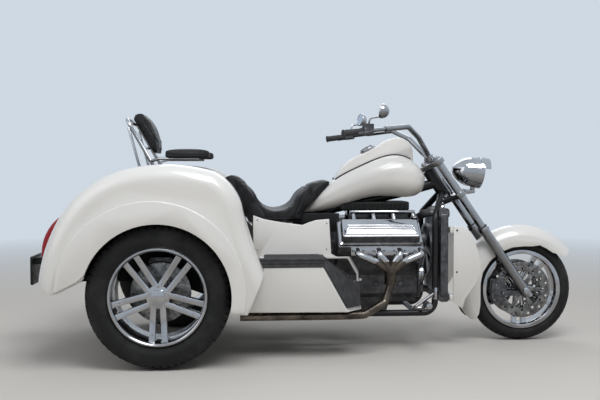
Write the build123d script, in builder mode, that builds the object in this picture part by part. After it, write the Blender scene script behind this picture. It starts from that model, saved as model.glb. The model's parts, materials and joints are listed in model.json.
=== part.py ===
"""Three-wheeled cruiser motorcycle with a V8 engine, wide rear fenders, a luggage boot and a long raked fork.

Units are millimetres. Every piece is drawn from the ground point under the rear axle, with +X forward, +Y to the
rider's left and +Z up, and is then moved so that the origin lies on the ground under the middle of its length.
Pieces that come in pairs are drawn on the right-hand side, at negative Y, and mirrored.
"""
from build123d import *
import math
import os

os.makedirs("parts", exist_ok=True)

# Driving sizes
WHEELBASE = 2168
REAR_OVERHANG = 790
SEAT_GAP = 0.3
RUN_GAP = 0.1

REAR_TYRE_R = 390
REAR_TYRE_W = 280
REAR_WHEEL_Y = 600
REAR_BEAD_R = 252
REAR_LIP_R = 266
REAR_SPINDLE_R = 32
FRONT_TYRE_R = 320
FRONT_TYRE_W = 130
FRONT_BEAD_R = 229
FRONT_LIP_R = 243
FRONT_SPINDLE_R = 11
RIM_WALL = 10

RAKE = 34.6
FORK_OFFSET = 60
FORK_LEG_Y = 122
FORK_TUBE_R = 23
FORK_SLIDER_R = 30
LOWER_CLAMP_H = 700
CLAMP_T = 32
HEAD_LEN = 180

FENDER_Y = 775
ARCH_Y = 796
FENDER_INNER_Y = 425
SKIN = 14
ARCH_R = 388
WHEELHOUSE_R = 402
CROWN_R = 90
BOOT_HALF_W = 380
BOOT_FLOOR_Z = 590
LID_GAP = 6
LID_T = 18

SIDE_Y = 300
FLARE_Y = 540
BOARD_Z = 556
MAT_T = 14

RAIL_Y = 210
RAIL_R = 19
SPINE_R = 30
HEAD_R = 36

ORIGIN_SHIFT = (REAR_OVERHANG - WHEELBASE - FRONT_TYRE_R) / 2

REAR_AXLE = Axis((0, 0, REAR_TYRE_R), (0, 1, 0))
FRONT_AXLE = Axis((WHEELBASE, 0, FRONT_TYRE_R), (0, 1, 0))
SIN_R, COS_R = math.sin(math.radians(RAKE)), math.cos(math.radians(RAKE))
# Foot of the steering axis, level with the front axle along the fork
STEER_X = WHEELBASE - FORK_OFFSET * COS_R
STEER_Z = FRONT_TYRE_R - FORK_OFFSET * SIN_R


def keep(part, name):
    """Move a finished piece to the origin under the middle, label it and write it."""
    piece = part.moved(Location((ORIGIN_SHIFT, 0, 0)))
    piece.label = name
    export_step(piece, f"parts/{name}.step")


def keep_pair(part, name):
    """Write a right-hand piece and its mirror image as two nodes."""
    keep(part, f"{name}_right")
    keep(mirror(part, about=Plane.XZ), f"{name}_left")


def steer_plane(height, forward=0, side=0):
    """A plane across the steering axis: x forward, y left, z up along the axis."""
    return Plane(
        origin=(
            STEER_X + forward * COS_R - height * SIN_R,
            side,
            STEER_Z + forward * SIN_R + height * COS_R,
        ),
        x_dir=(COS_R, 0, SIN_R),
        z_dir=(-SIN_R, 0, COS_R),
    )


def tube(points, radius, bend=None):
    """A round tube along straight runs joined by arcs of one bend radius."""
    with BuildPart() as run:
        with BuildLine() as path:
            if bend:
                FilletPolyline(*points, radius=bend)
            else:
                Line(*points)
        with BuildSketch(Plane(origin=path.line @ 0, z_dir=path.line % 0)):
            Circle(radius)
        sweep()
    return run.part


def side_block(points, y_low, y_high, rounding=0):
    """A side outline of (x, z) points, extruded from y_low to y_high."""
    with BuildPart() as block:
        with BuildSketch(Plane.XZ.offset(-y_high)) as outline:
            with BuildLine():
                Polyline(*points, close=True)
            make_face()
            if rounding:
                fillet(outline.vertices(), rounding)
        extrude(amount=y_high - y_low)
    return block.part


def side_disc(x, z, radius, y_low, y_high):
    """A disc or bar across the vehicle."""
    with BuildPart() as disc:
        with BuildSketch(Plane.XZ.offset(-y_high)):
            with Locations((x, z)):
                Circle(radius)
        extrude(amount=y_high - y_low)
    return disc.part


def turned(axle, rows, y_mid=0):
    """A ring turned about an axle from rows of (y offset, radius)."""
    with BuildPart() as ring:
        with BuildSketch(Plane.YZ.offset(axle.position.X)):
            with BuildLine():
                Polyline(*[(y_mid + y, axle.position.Z + r) for y, r in rows], close=True)
            make_face()
        revolve(axis=axle)
    return ring.part


def tyre(axle, radius, width, bead, y_mid):
    """A tyre with bulged walls and a lightly crowned tread."""
    half, shoulder_drop, bead_h = width / 2, 15, 16
    foot, shoulder = half - 14, half - 18
    flat = 0.2
    crown = [
        (shoulder * share, radius - shoulder_drop * (share**2 - flat**2)) for share in (1, 0.6, flat, -flat, -0.6, -1)
    ]
    bulge, wall_h = half - (foot + shoulder) / 2, radius - shoulder_drop - bead - bead_h
    wall = [
        (foot + (shoulder - foot) * rise + bulge * 4 * rise * (1 - rise), bead + bead_h + wall_h * rise)
        for rise in (0, 0.25, 0.5, 0.8)
    ]
    rows = [(foot, bead), *wall, *crown, *[(-y, r) for y, r in reversed(wall)], (-foot, bead)]
    return turned(axle, rows, y_mid)


def rim(axle, width, bead, lip, y_mid, face_y, spoke_t, hub_r, hub_half, bore_r):
    """A cast wheel: barrel with two lips, hub with a bore, and five pairs of spokes, one pair pointing down."""
    seat = width / 2 - 14
    edge = seat + 12
    z0, x0 = axle.position.Z, axle.position.X
    inner_r = bead - RIM_WALL
    with BuildPart() as cast:
        with BuildSketch(Plane.YZ.offset(x0)):
            with BuildLine():
                Polyline(
                    (y_mid - edge, z0 + inner_r),
                    (y_mid + edge, z0 + inner_r),
                    (y_mid + edge, z0 + lip),
                    (y_mid + seat + SEAT_GAP, z0 + lip),
                    (y_mid + seat + SEAT_GAP, z0 + bead - SEAT_GAP),
                    (y_mid - seat - SEAT_GAP, z0 + bead - SEAT_GAP),
                    (y_mid - seat - SEAT_GAP, z0 + lip),
                    (y_mid - edge, z0 + lip),
                    close=True,
                )
            make_face()
        revolve(axis=axle)
        with BuildSketch(Plane(origin=(x0, face_y, z0), x_dir=(1, 0, 0), z_dir=(0, -1, 0))):
            Circle(hub_r)
            with PolarLocations(0, 5, start_angle=-90):
                for side in (-1, 1):
                    Polygon(
                        (0.5 * hub_r, side * 0.14 * hub_r),
                        (inner_r + 3, side * 0.075 * bead),
                        (inner_r + 3, side * 0.2 * bead),
                        (0.5 * hub_r, side * 0.62 * hub_r),
                        align=None,
                    )
        extrude(amount=-spoke_t)
        with BuildSketch(Plane.XZ.offset(-y_mid - hub_half)):
            with Locations((x0, z0)):
                Circle(0.8 * hub_r)
        extrude(amount=2 * hub_half)
        with BuildSketch(Plane.XZ.offset(-y_mid - width)):
            with Locations((x0, z0)):
                Circle(bore_r)
        extrude(amount=2 * width, mode=Mode.SUBTRACT)
    return cast.part


# Rear wheels: tyre, chrome rim with a five-sided cap, brake disc
REAR_FACE_Y = REAR_WHEEL_Y + 102
REAR_HUB_HALF = 60
CAP_R = 44
CAP_H = 26
REAR_DISC_R = 165
REAR_DISC_T = 12
REAR_DISC_Y = REAR_WHEEL_Y - REAR_HUB_HALF

keep_pair(tyre(REAR_AXLE, REAR_TYRE_R, REAR_TYRE_W, REAR_BEAD_R, -REAR_WHEEL_Y), "rear_tyre")

with BuildPart() as rear_rim:
    add(
        rim(
            REAR_AXLE, REAR_TYRE_W, REAR_BEAD_R, REAR_LIP_R, -REAR_WHEEL_Y,
            -REAR_FACE_Y, 46, 62, REAR_HUB_HALF, REAR_SPINDLE_R + RUN_GAP,
        )
    )
    with BuildSketch(Plane.XZ.offset(REAR_FACE_Y - 6)):
        with Locations((0, REAR_TYRE_R)):
            RegularPolygon(CAP_R, 5, rotation=-90)
    extrude(amount=CAP_H)
    chamfer(rear_rim.faces().sort_by(Axis.Y)[0].edges(), 8)
keep_pair(rear_rim.part, "rear_rim")

rear_disc = turned(
    REAR_AXLE,
    [
        (0, REAR_SPINDLE_R + RUN_GAP),
        (0, REAR_DISC_R),
        (REAR_DISC_T, REAR_DISC_R),
        (REAR_DISC_T, REAR_SPINDLE_R + RUN_GAP),
    ],
    -REAR_DISC_Y,
)
keep_pair(rear_disc, "rear_brake_disc")

# Rear axle: centre case, tubes, spindles and brake calipers
AXLE_TUBE_R = 40
SPINDLE_START_Y = REAR_DISC_Y - REAR_DISC_T - 6
SPINDLE_END_Y = REAR_FACE_Y - 10
with BuildPart() as rear_axle:
    with BuildSketch(Plane.XZ.offset(-SPINDLE_START_Y)):
        with Locations((0, REAR_TYRE_R)):
            Circle(AXLE_TUBE_R)
    extrude(amount=2 * SPINDLE_START_Y)
    with BuildSketch(Plane.XZ.offset(-SPINDLE_END_Y)):
        with Locations((0, REAR_TYRE_R)):
            Circle(REAR_SPINDLE_R)
    extrude(amount=2 * SPINDLE_END_Y)
    with BuildSketch(Plane.XZ.offset(-95)):
        with Locations((0, REAR_TYRE_R)):
            Circle(118)
    extrude(amount=190)
    fillet(rear_axle.edges().filter_by(GeomType.CIRCLE).filter_by(lambda e: abs(e.radius - 118) < 1), 30)
    with BuildSketch(Plane.YZ.offset(100)):
        with Locations((0, REAR_TYRE_R)):
            Circle(46)
    extrude(amount=130)
    for side in (-1, 1):
        arm_y = side * (SPINDLE_START_Y - 24)
        with BuildSketch(Plane.XZ.offset(-arm_y - 6)):
            with BuildLine():
                Polyline(
                    (-30, REAR_TYRE_R + 20), (30, REAR_TYRE_R + 20),
                    (60, REAR_TYRE_R + 180), (-60, REAR_TYRE_R + 180), close=True,
                )
            make_face()
        extrude(amount=12)
        with BuildSketch(Plane.XZ.offset(-arm_y - 34)):
            with Locations((0, REAR_TYRE_R + 160)):
                RectangleRounded(130, 62, 16)
        extrude(amount=68)
        with BuildSketch(Plane.XZ.offset(-side * (REAR_DISC_Y - REAR_DISC_T / 2) - REAR_DISC_T / 2 - 5)):
            with Locations((0, REAR_TYRE_R)):
                Circle(REAR_DISC_R + 5)
        extrude(amount=REAR_DISC_T + 10, mode=Mode.SUBTRACT)
        with BuildSketch(Plane.XZ.offset(-side * SPINDLE_END_Y)):
            with Locations((0, REAR_TYRE_R)):
                Circle(REAR_SPINDLE_R)
        extrude(amount=side * (SPINDLE_END_Y - SPINDLE_START_Y))
keep(rear_axle.part, "rear_axle")

# Rear fenders and boot: one moulding, with the wheel spaces and the boot hollow
CREASE_X, CREASE_Z, CREASE_R = -30, 402, 505
REAR_SKIRT_Z = 440


def fender_outline():
    """The side outline of a rear fender, drawn in the current line."""
    Line((-300, 560), (-400, 472))
    Line((-400, 472), (-496, 424))
    Line((-496, 424), (-549, 410))
    Line((-549, 410), (-618, 473))
    ThreePointArc((-618, 473), (-582, 645), (-514, 800))
    ThreePointArc((-514, 800), (-330, 992), (-100, 1076))
    ThreePointArc((-100, 1076), (110, 1085), (298, 1048))
    ThreePointArc((298, 1048), (400, 960), (448, 842))
    ThreePointArc((448, 842), (498, 668), (560, 512))
    Line((560, 512), (470, 300))
    Line((470, 300), (400, 300))
    Line((400, 300), (-300, 560))


def fender_block(inset, inner_y):
    """One fender as a full block, inset from its outer skin all round."""
    outer_y = FENDER_Y - inset
    with BuildPart() as block:
        with BuildSketch(Plane.XZ.offset(outer_y)):
            with BuildLine():
                fender_outline()
            make_face()
            if inset:
                offset(amount=-inset, kind=Kind.INTERSECTION)
        extrude(amount=inner_y - outer_y)
        outer_edges = block.faces().sort_by(Axis.Y)[0].edges()
        crown = outer_edges.filter_by(
            lambda e: math.hypot(e.center().X, e.center().Z - REAR_TYRE_R) > 520 and e.center().Z > 600
        )
        fillet(crown, CROWN_R - inset)
    return block.part


def arch_band():
    """The flat band round the wheel opening, which stands proud of the crowned skin."""
    with BuildPart() as band:
        with BuildSketch(Plane.XZ.offset(FENDER_Y - 40)):
            with BuildLine():
                fender_outline()
            make_face()
            with Locations((CREASE_X, CREASE_Z)):
                Circle(CREASE_R, mode=Mode.INTERSECT)
        extrude(amount=ARCH_Y - FENDER_Y + 40, taper=12)
    return band.part


def wheel_space(radius, y_low, y_high):
    return side_disc(0, REAR_TYRE_R, radius, -y_high, -y_low)


fender = fender_block(0, FENDER_INNER_Y)
fender = fender + arch_band()
fender = fender - fender_block(SKIN, FENDER_INNER_Y + SKIN)
fender = fender - wheel_space(WHEELHOUSE_R, FENDER_INNER_Y + SKIN, FENDER_Y - SKIN)
fender = fender - wheel_space(ARCH_R, FENDER_Y - SKIN - 1, ARCH_Y + 1)

# Boot lid line: an arc from the hinge at the front down to the rear panel
LID_FRONT = (-165, 1004)
LID_MID = (-420, 884)
LID_REAR = (-592, 664)
DECK_Z = 925
TUB_HALF_W = FENDER_INNER_Y + 5
BOOT_FRONT_X = 60


with BuildPart() as tub:
    with BuildSketch(Plane.XZ.offset(-TUB_HALF_W)):
        with BuildLine():
            Line((-604, REAR_SKIRT_Z), (-612, BOOT_FLOOR_Z))
            Line((-612, BOOT_FLOOR_Z), LID_REAR)
            ThreePointArc(LID_REAR, LID_MID, LID_FRONT)
            Line(LID_FRONT, (-140, DECK_Z))
            Line((-140, DECK_Z), (345, DECK_Z))
            ThreePointArc((345, DECK_Z), (415, 890), (440, 800))
            Line((440, 800), (500, 745))
            Line((500, 745), (500, REAR_SKIRT_Z))
            Line((500, REAR_SKIRT_Z), (-604, REAR_SKIRT_Z))
        make_face()
    extrude(amount=2 * TUB_HALF_W)
    # Boot hollow, up to a skin below the lid line and the deck
    with BuildSketch(Plane.XZ.offset(-TUB_HALF_W + SKIN)):
        with BuildLine():
            Line((LID_REAR[0] - 2, BOOT_FLOOR_Z), (LID_REAR[0] + 8, LID_REAR[1] - SKIN))
            ThreePointArc(
                (LID_REAR[0] + 8, LID_REAR[1] - SKIN),
                (LID_MID[0] + 8, LID_MID[1] - SKIN),
                (LID_FRONT[0] + 4, LID_FRONT[1] - SKIN),
            )
            Line((LID_FRONT[0] + 4, LID_FRONT[1] - SKIN), (-152, DECK_Z - SKIN))
            Line((-152, DECK_Z - SKIN), (BOOT_FRONT_X, DECK_Z - SKIN))
            Line((BOOT_FRONT_X, DECK_Z - SKIN), (BOOT_FRONT_X, BOOT_FLOOR_Z))
            Line((BOOT_FRONT_X, BOOT_FLOOR_Z), (LID_REAR[0] - 2, BOOT_FLOOR_Z))
        make_face()
    extrude(amount=2 * (TUB_HALF_W - SKIN), mode=Mode.SUBTRACT)
    # Open underside behind and ahead of the boot's front wall
    under_floor = BOOT_FLOOR_Z - SKIN
    with BuildSketch(Plane.XZ.offset(-TUB_HALF_W + SKIN)):
        with BuildLine():
            Polyline(
                (-588, REAR_SKIRT_Z - 1), (-594, under_floor), (BOOT_FRONT_X + SKIN + 1, under_floor),
                (BOOT_FRONT_X + SKIN + 1, REAR_SKIRT_Z - 1), close=True,
            )
        make_face()
        with BuildLine():
            Polyline(
                (BOOT_FRONT_X + SKIN, REAR_SKIRT_Z - 1), (BOOT_FRONT_X + SKIN, DECK_Z - SKIN), (338, DECK_Z - SKIN),
                (392, 876), (424, 790), (500 - SKIN, 738), (500 - SKIN, REAR_SKIRT_Z - 1), close=True,
            )
        make_face()
    extrude(amount=2 * (TUB_HALF_W - SKIN), mode=Mode.SUBTRACT)


def lid_band(top_gap, thickness, half_w, trim):
    """A curved plate that follows the boot lid line, measured down from the body's surface."""
    with BuildPart() as band:
        with BuildSketch(Plane.XZ.offset(-half_w)):
            with BuildLine():
                (x0, z0), (x1, z1), (x2, z2) = LID_FRONT, LID_MID, LID_REAR
                ThreePointArc((x0, z0 - top_gap), (x1, z1 - top_gap), (x2, z2 - top_gap))
                Line((x2, z2 - top_gap), (x2, z2 - top_gap - thickness))
                ThreePointArc(
                    (x2, z2 - top_gap - thickness), (x1, z1 - top_gap - thickness), (x0, z0 - top_gap - thickness)
                )
                Line((x0, z0 - top_gap - thickness), (x0, z0 - top_gap))
            make_face()
            with BuildLine():
                Polyline(
                    (x2 + trim, z2 - 300), (x0 - trim, z2 - 300), (x0 - trim, z0 + 100), (x2 + trim, z0 + 100),
                    close=True,
                )
            make_face(mode=Mode.INTERSECT)
        extrude(amount=2 * half_w)
    return band.part


HINGE_X, HINGE_Z = -182, 1003
HINGE_Y = 250
KNUCKLE_R = 7
PIN_R = 3
LID_KNUCKLE = 17
BODY_KNUCKLE = (19, 41)
MOUTH_TRIM = 14

boot_mouth = lid_band(-60, 200, BOOT_HALF_W, MOUTH_TRIM)
body = tub.part + fender + mirror(fender, about=Plane.XZ) - boot_mouth
# Notches in the inner walls for the axle tubes, and in the front wall for the frame rails
body = body - side_block([(-70, 300), (70, 300), (70, 470), (-70, 470)], -FENDER_Y + 60, FENDER_Y - 60)
lid = lid_band(0, LID_T, BOOT_HALF_W - LID_GAP, MOUTH_TRIM + LID_GAP)
for side in (-1, 1):
    mid = side * HINGE_Y
    rail_y = side * RAIL_Y
    body = body - side_block(
        [(480, 430), (510, 430), (510, 530), (480, 530)], rail_y - RAIL_R - 6, rail_y + RAIL_R + 6
    )
    body = body - side_disc(HINGE_X, HINGE_Z, KNUCKLE_R + 5, mid - LID_KNUCKLE - 4, mid + LID_KNUCKLE + 4)
    for y_low, y_high in (BODY_KNUCKLE, (-BODY_KNUCKLE[1], -BODY_KNUCKLE[0])):
        body = body + side_disc(HINGE_X, HINGE_Z, KNUCKLE_R, mid + y_low, mid + y_high)
    body = body + side_disc(HINGE_X, HINGE_Z, PIN_R, mid - BODY_KNUCKLE[0] - 1, mid + BODY_KNUCKLE[0] + 1)
    lid = lid - side_disc(HINGE_X, HINGE_Z, KNUCKLE_R + 6, mid - BODY_KNUCKLE[1] - 6, mid + BODY_KNUCKLE[1] + 6)
    lid = lid + side_disc(HINGE_X, HINGE_Z, KNUCKLE_R, mid - LID_KNUCKLE, mid + LID_KNUCKLE)
    lid = lid + side_block(
        [(HINGE_X - 3, HINGE_Z - 5), (HINGE_X - 22, HINGE_Z - 20), (HINGE_X - 22, HINGE_Z - 10), (HINGE_X - 5, HINGE_Z + 2)],
        mid - LID_KNUCKLE, mid + LID_KNUCKLE,
    )
    lid = lid - side_disc(HINGE_X, HINGE_Z, PIN_R + RUN_GAP, mid - LID_KNUCKLE - 1, mid + LID_KNUCKLE + 1)
keep(body, "rear_body")
keep(lid, "boot_lid")

# Tail lights, on the rear slope of each fender
LAMP_Y = (455, 545)
with BuildPart() as tail_lights:
    for side in (-1, 1):
        with BuildSketch(Plane.XZ.offset(-side * sum(LAMP_Y) / 2 - (LAMP_Y[1] - LAMP_Y[0]) / 2)):
            with BuildLine():
                ThreePointArc((-604.3, 570), (-573.3, 690), (-520.3, 790))
                Line((-520.3, 790), (-545, 800))
                ThreePointArc((-545, 800), (-618, 702), (-636, 585))
                Line((-636, 585), (-604.3, 570))
            make_face()
        extrude(amount=LAMP_Y[1] - LAMP_Y[0])
    fillet(tail_lights.faces().filter_by(Axis.Y).edges().filter_by(lambda e: e.center().X < -560), 12)
keep(tail_lights.part, "tail_lights")

# Rear bumper bar with a blank plate on its bracket
PLATE_W, PLATE_H, PLATE_HOLE_X, PLATE_HOLE_Z = 305, 152, 178, 121
PLATE_X = -(REAR_OVERHANG - 12)
with BuildPart() as plate_bracket:
    with BuildSketch(Plane.YZ.offset(-REAR_OVERHANG)):
        with Locations((0, 468)):
            RectangleRounded(PLATE_W + 16, PLATE_H + 14, 14)
    extrude(amount=12)
    with BuildSketch(Plane.YZ.offset(PLATE_X)):
        with Locations((0, 520)):
            Rectangle(180, 40)
    extrude(amount=-PLATE_X - 590)
    with BuildSketch(Plane.YZ.offset(-REAR_OVERHANG - 1)):
        with Locations((0, 468)):
            with GridLocations(PLATE_HOLE_X, PLATE_HOLE_Z, 2, 2):
                Circle(3.5)
    extrude(amount=14, mode=Mode.SUBTRACT)
keep(plate_bracket.part - body, "plate_bracket")

# Side panels: upright upper panel with a forward lip, and a flared lower shell that carries the running board
RAMP = Plane(
    origin=(883, -FLARE_Y, 520),
    z_dir=(Vector(125, 0, -223).cross(Vector(241, FLARE_Y - 350, -135))).normalized() * -1,
)
if RAMP.z_dir.X < 0:
    RAMP = Plane(origin=RAMP.origin, z_dir=RAMP.z_dir * -1)
PANEL_T = 12
FLARE_END_X = 1116

upper_panel = side_block(
    [
        (506, BOARD_Z - 20), (506, 797), (565, 775), (660, 757), (790, 740), (830, 756), (870, 768), (945, 774),
        (957, 572), (1030, 535), (1054, 485), (1084, 431), (1137, 427), (1133, 412), (1075, 410), (1048, 436),
        (994, 486), (905, BOARD_Z - 20),
    ],
    -SIDE_Y - PANEL_T, -SIDE_Y,
)
with BuildPart() as flare:
    add(
        side_block(
            [(460, 272), (FLARE_END_X, 268), (FLARE_END_X, BOARD_Z), (543.5, BOARD_Z), (560.4, 512), (470.4, 300)],
            -FLARE_Y, -SIDE_Y,
        )
    )
    split(bisect_by=RAMP, keep=Keep.BOTTOM)
    fillet(flare.edges().filter_by(Axis.X).filter_by(lambda e: abs(e.center().Y + FLARE_Y) < 2).sort_by(Axis.Z)[-1], 24)
with BuildPart() as flare_hollow:
    add(
        side_block(
            [(477, 260), (FLARE_END_X - PANEL_T, 254), (FLARE_END_X - PANEL_T, BOARD_Z - PANEL_T), (561, BOARD_Z - PANEL_T), (578, 512), (488, 300)],
            -FLARE_Y + PANEL_T, -SIDE_Y + 1,
        )
    )
    split(bisect_by=RAMP.offset(-PANEL_T), keep=Keep.BOTTOM)
side_panel = upper_panel + flare.part - flare_hollow.part
keep_pair(side_panel, "side_panel")

with BuildPart() as mat:
    with BuildSketch(Plane.XY.offset(BOARD_Z + SEAT_GAP)):
        with Locations((762, -(SIDE_Y + PANEL_T + FLARE_Y) / 2 + 8)):
            Rectangle(390, FLARE_Y - SIDE_Y - PANEL_T - 28)
    extrude(amount=MAT_T)
with BuildPart() as ramp_pad:
    add(side_block([(860, 292), (FLARE_END_X - 4, 292), (FLARE_END_X - 4, BOARD_Z + MAT_T), (860, BOARD_Z + MAT_T)], -FLARE_Y + 6, -SIDE_Y - PANEL_T - 2))
    split(bisect_by=RAMP.offset(SEAT_GAP), keep=Keep.TOP)
    split(bisect_by=RAMP.offset(MAT_T), keep=Keep.BOTTOM)
step_mat = mat.part + ramp_pad.part
keep(step_mat + mirror(step_mat, about=Plane.XZ), "step_mats")


def across(part):
    """A right-hand piece together with its mirror image."""
    return part + mirror(part, about=Plane.XZ)


def box(x, y, z):
    """A plain block from (low, high) pairs along X, Y and Z."""
    return side_block([(x[0], z[0]), (x[1], z[0]), (x[1], z[1]), (x[0], z[1])], y[0], y[1])


def plan_block(points, z_low, z_high):
    """A plan outline of (x, y) points, extruded from z_low to z_high."""
    with BuildPart() as block:
        with BuildSketch(Plane.XY.offset(z_low)):
            with BuildLine():
                Polyline(*points, close=True)
            make_face()
        extrude(amount=z_high - z_low)
    return block.part


# Frame: steering head with the spine, and the cradle with its cross tubes
HEAD_LOW = LOWER_CLAMP_H + CLAMP_T + 20
HEAD_HIGH = HEAD_LOW + HEAD_LEN
STEM_R = 16
RAIL_REAR_X, RAIL_TOP_Z, RAIL_LOW_Z = -566, 500, 206
TANK_TUNNEL = SPINE_R + 3
spine_points = [(1640, 0, 977), (1450, 0, 925), (1000, 0, 822), (830, 0, 715), (545, 0, RAIL_TOP_Z)]

with BuildPart() as head:
    with BuildSketch(steer_plane(HEAD_LOW)):
        Circle(HEAD_R)
    extrude(amount=HEAD_HIGH - HEAD_LOW)
with BuildPart() as stem_hole:
    with BuildSketch(steer_plane(HEAD_LOW - 5)):
        Circle(STEM_R + RUN_GAP)
    extrude(amount=HEAD_HIGH - HEAD_LOW + 10)
with BuildPart() as head_clear:
    with BuildSketch(steer_plane(HEAD_LOW - 5)):
        Circle(HEAD_R + SEAT_GAP)
    extrude(amount=HEAD_HIGH - HEAD_LOW + 10)

CROSS_X = 545
cross_tube = side_disc(CROSS_X, RAIL_TOP_Z, RAIL_R, -RAIL_Y, RAIL_Y)
spine = tube(spine_points, SPINE_R, 120) + head.part - stem_hole.part
rail_path = [
    (1674, -14, 925), (1590, -RAIL_Y, 780), (1590, -RAIL_Y, RAIL_LOW_Z), (700, -RAIL_Y, RAIL_LOW_Z),
    (CROSS_X, -RAIL_Y, RAIL_TOP_Z), (RAIL_REAR_X, -RAIL_Y, RAIL_TOP_Z),
]
rail = tube(rail_path, RAIL_R, 70)
for pad_x in (-460, 250):
    rail = rail + plan_block(
        [(pad_x - 22, -RAIL_Y - 16), (pad_x + 22, -RAIL_Y - 16), (pad_x + 22, -RAIL_Y + 16), (pad_x - 22, -RAIL_Y + 16)],
        RAIL_TOP_Z, (BOOT_FLOOR_Z - SKIN if pad_x < 0 else DECK_Z - SKIN) - SEAT_GAP,
    )
cradle = across(rail) + cross_tube
for x in (760, 1480):
    cradle = cradle + side_disc(x, RAIL_LOW_Z, RAIL_R - 3, -RAIL_Y, RAIL_Y)
cradle = cradle + side_disc(RAIL_REAR_X + RAIL_R, RAIL_TOP_Z, RAIL_R - 3, -RAIL_Y, RAIL_Y)
spine = spine - tube([(CROSS_X, -RAIL_Y, RAIL_TOP_Z), (CROSS_X, RAIL_Y, RAIL_TOP_Z)], RAIL_R + SEAT_GAP)
cradle = cradle - head_clear.part
keep(spine, "frame_spine")
keep(cradle, "frame_cradle")

# Engine: block with sump, heads and bell housing; rocker covers; intake; front drive
ENGINE = (996, 1490)
BANK = 45
DECK_IN, DECK_OUT = (150, 690), (290, 550)
HEAD_T = 88
COVER_T = 58
block_half = [
    (0, 176), (118, 176), (128, 290), (168, 318), (168, 430), (290, 552), (352, 614), (212, 754), (150, 692), (80, 622),
    (0, 622),
]
with BuildPart() as engine:
    with BuildSketch(Plane.YZ.offset(ENGINE[0])):
        with BuildLine():
            Polyline(*block_half, *[(-y, z) for y, z in reversed(block_half[1:-1])], close=True)
        make_face()
    extrude(amount=ENGINE[1] - ENGINE[0])
    # Sump steps up at the front, and the bell housing tapers to the gearbox
    with BuildSketch(Plane.XZ.offset(-200)):
        with BuildLine():
            Polyline((1300, 170), (1500, 170), (1500, 262), (1330, 262), close=True)
        make_face()
    extrude(amount=400, mode=Mode.SUBTRACT)
    with BuildSketch(Plane.YZ.offset(ENGINE[0])):
        with Locations((0, 400)):
            Circle(175)
    with BuildSketch(Plane.YZ.offset(ENGINE[0] - 130)):
        with Locations((0, 380)):
            Circle(120)
    loft()
keep(engine.part, "engine_block")

with BuildPart() as gearbox:
    with BuildSketch(Plane.YZ.offset(ENGINE[0] - 130 - SEAT_GAP)):
        with Locations((0, 378)):
            RectangleRounded(230, 230, 40)
    with BuildSketch(Plane.YZ.offset(560)):
        with Locations((0, 386)):
            RectangleRounded(140, 140, 30)
    loft()
    with BuildSketch(Plane.YZ.offset(560)):
        with Locations((0, REAR_TYRE_R)):
            Circle(32)
    extrude(amount=-(560 - 230 - SEAT_GAP))
gearbox = gearbox.part
keep(gearbox, "gearbox")

# One rocker cover, lying on its 45-degree bank; x along the engine, y outwards down the slope
cover_plane = Plane(
    origin=((ENGINE[0] + ENGINE[1]) / 2, -(212 + 352) / 2, (754 + 614) / 2),
    x_dir=(1, 0, 0), z_dir=(0, -1, 1),
)
with BuildPart() as cover:
    with BuildSketch(cover_plane.offset(SEAT_GAP)):
        RectangleRounded(ENGINE[1] - ENGINE[0] - 10, 178, 18)
    extrude(amount=10)
    with BuildSketch(cover_plane.offset(10)):
        RectangleRounded(ENGINE[1] - ENGINE[0] - 34, 150, 22)
    extrude(amount=COVER_T - 10, taper=8)
    fillet(cover.edges().group_by(Axis((0, 0, 0), (0, -1, 1)))[-1], 10)
    for row in (-18, 0, 18):
        with BuildSketch(cover_plane.offset(COVER_T)):
            with Locations((0, row)):
                SlotOverall(ENGINE[1] - ENGINE[0] - 110, 8)
        extrude(amount=5)
keep(across(cover.part), "rocker_covers")

PLENUM_TOP = 812
with BuildPart() as intake:
    with BuildSketch(Plane.XY.offset(622 + SEAT_GAP)):
        with Locations((1250, 0)):
            RectangleRounded(420, 150, 20)
    extrude(amount=60)
    with BuildSketch(Plane.YZ.offset(1110)):
        with Locations((0, PLENUM_TOP - 50)):
            RectangleRounded(150, 100, 30)
    extrude(amount=350)
    with BuildSketch(Plane.XY.offset(670)):
        with Locations((1250, 0)):
            Rectangle(330, 110)
    extrude(amount=60)
    with BuildSketch(Plane.YZ.offset(1460)):
        with Locations((0, PLENUM_TOP - 50)):
            Circle(42)
    extrude(amount=38)
PORT_X = [1108 + i * (1468 - 1108) / 3 for i in range(4)]
runner = None
for x in PORT_X:
    run = tube([(x, -40, 770), (x, -120, 800), (x, -192, 738)], 17, 24)
    runner = run if runner is None else runner + run
runner = runner + tube([(1085, -142, 806), (1478, -142, 806)], 11)
intake = intake.part + across(runner)
intake = intake - engine.part - across(cover.part)
keep(intake, "intake")

# Front drive: crank, pump and side pulleys with their belts
BELT_X = (1512, 1536)
PULLEYS = [
    # y, z, radius
    (0, 352, 82),
    (0, 560, 66),
    (150, 640, 38),
    (-150, 640, 44),
]
with BuildPart() as front_drive:
    for y, z, radius in PULLEYS:
        with BuildSketch(Plane.YZ.offset(BELT_X[0])):
            with Locations((y, z)):
                Circle(radius)
        extrude(amount=BELT_X[1] - BELT_X[0])
        with BuildSketch(Plane.YZ.offset(ENGINE[1] + SEAT_GAP)):
            with Locations((y, z)):
                Circle(26)
        extrude(amount=BELT_X[1] - ENGINE[1] + 8)
    for i, (y, z, radius) in enumerate(PULLEYS[1:]):
        y0, z0, r0 = PULLEYS[0 if i < 1 else 1]
        angle = math.atan2(z - z0, y - y0)
        ny, nz = -math.sin(angle), math.cos(angle)
        with BuildSketch(Plane.YZ.offset(BELT_X[0] + 4)):
            for wall in (-1, 1):
                with BuildLine():
                    Polyline(
                        (y0 + wall * r0 * ny, z0 + wall * r0 * nz), (y + wall * radius * ny, z + wall * radius * nz),
                        (y + wall * (radius - 9) * ny, z + wall * (radius - 9) * nz),
                        (y0 + wall * (r0 - 9) * ny, z0 + wall * (r0 - 9) * nz), close=True,
                    )
                make_face()
        extrude(amount=BELT_X[1] - BELT_X[0] - 8)
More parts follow.
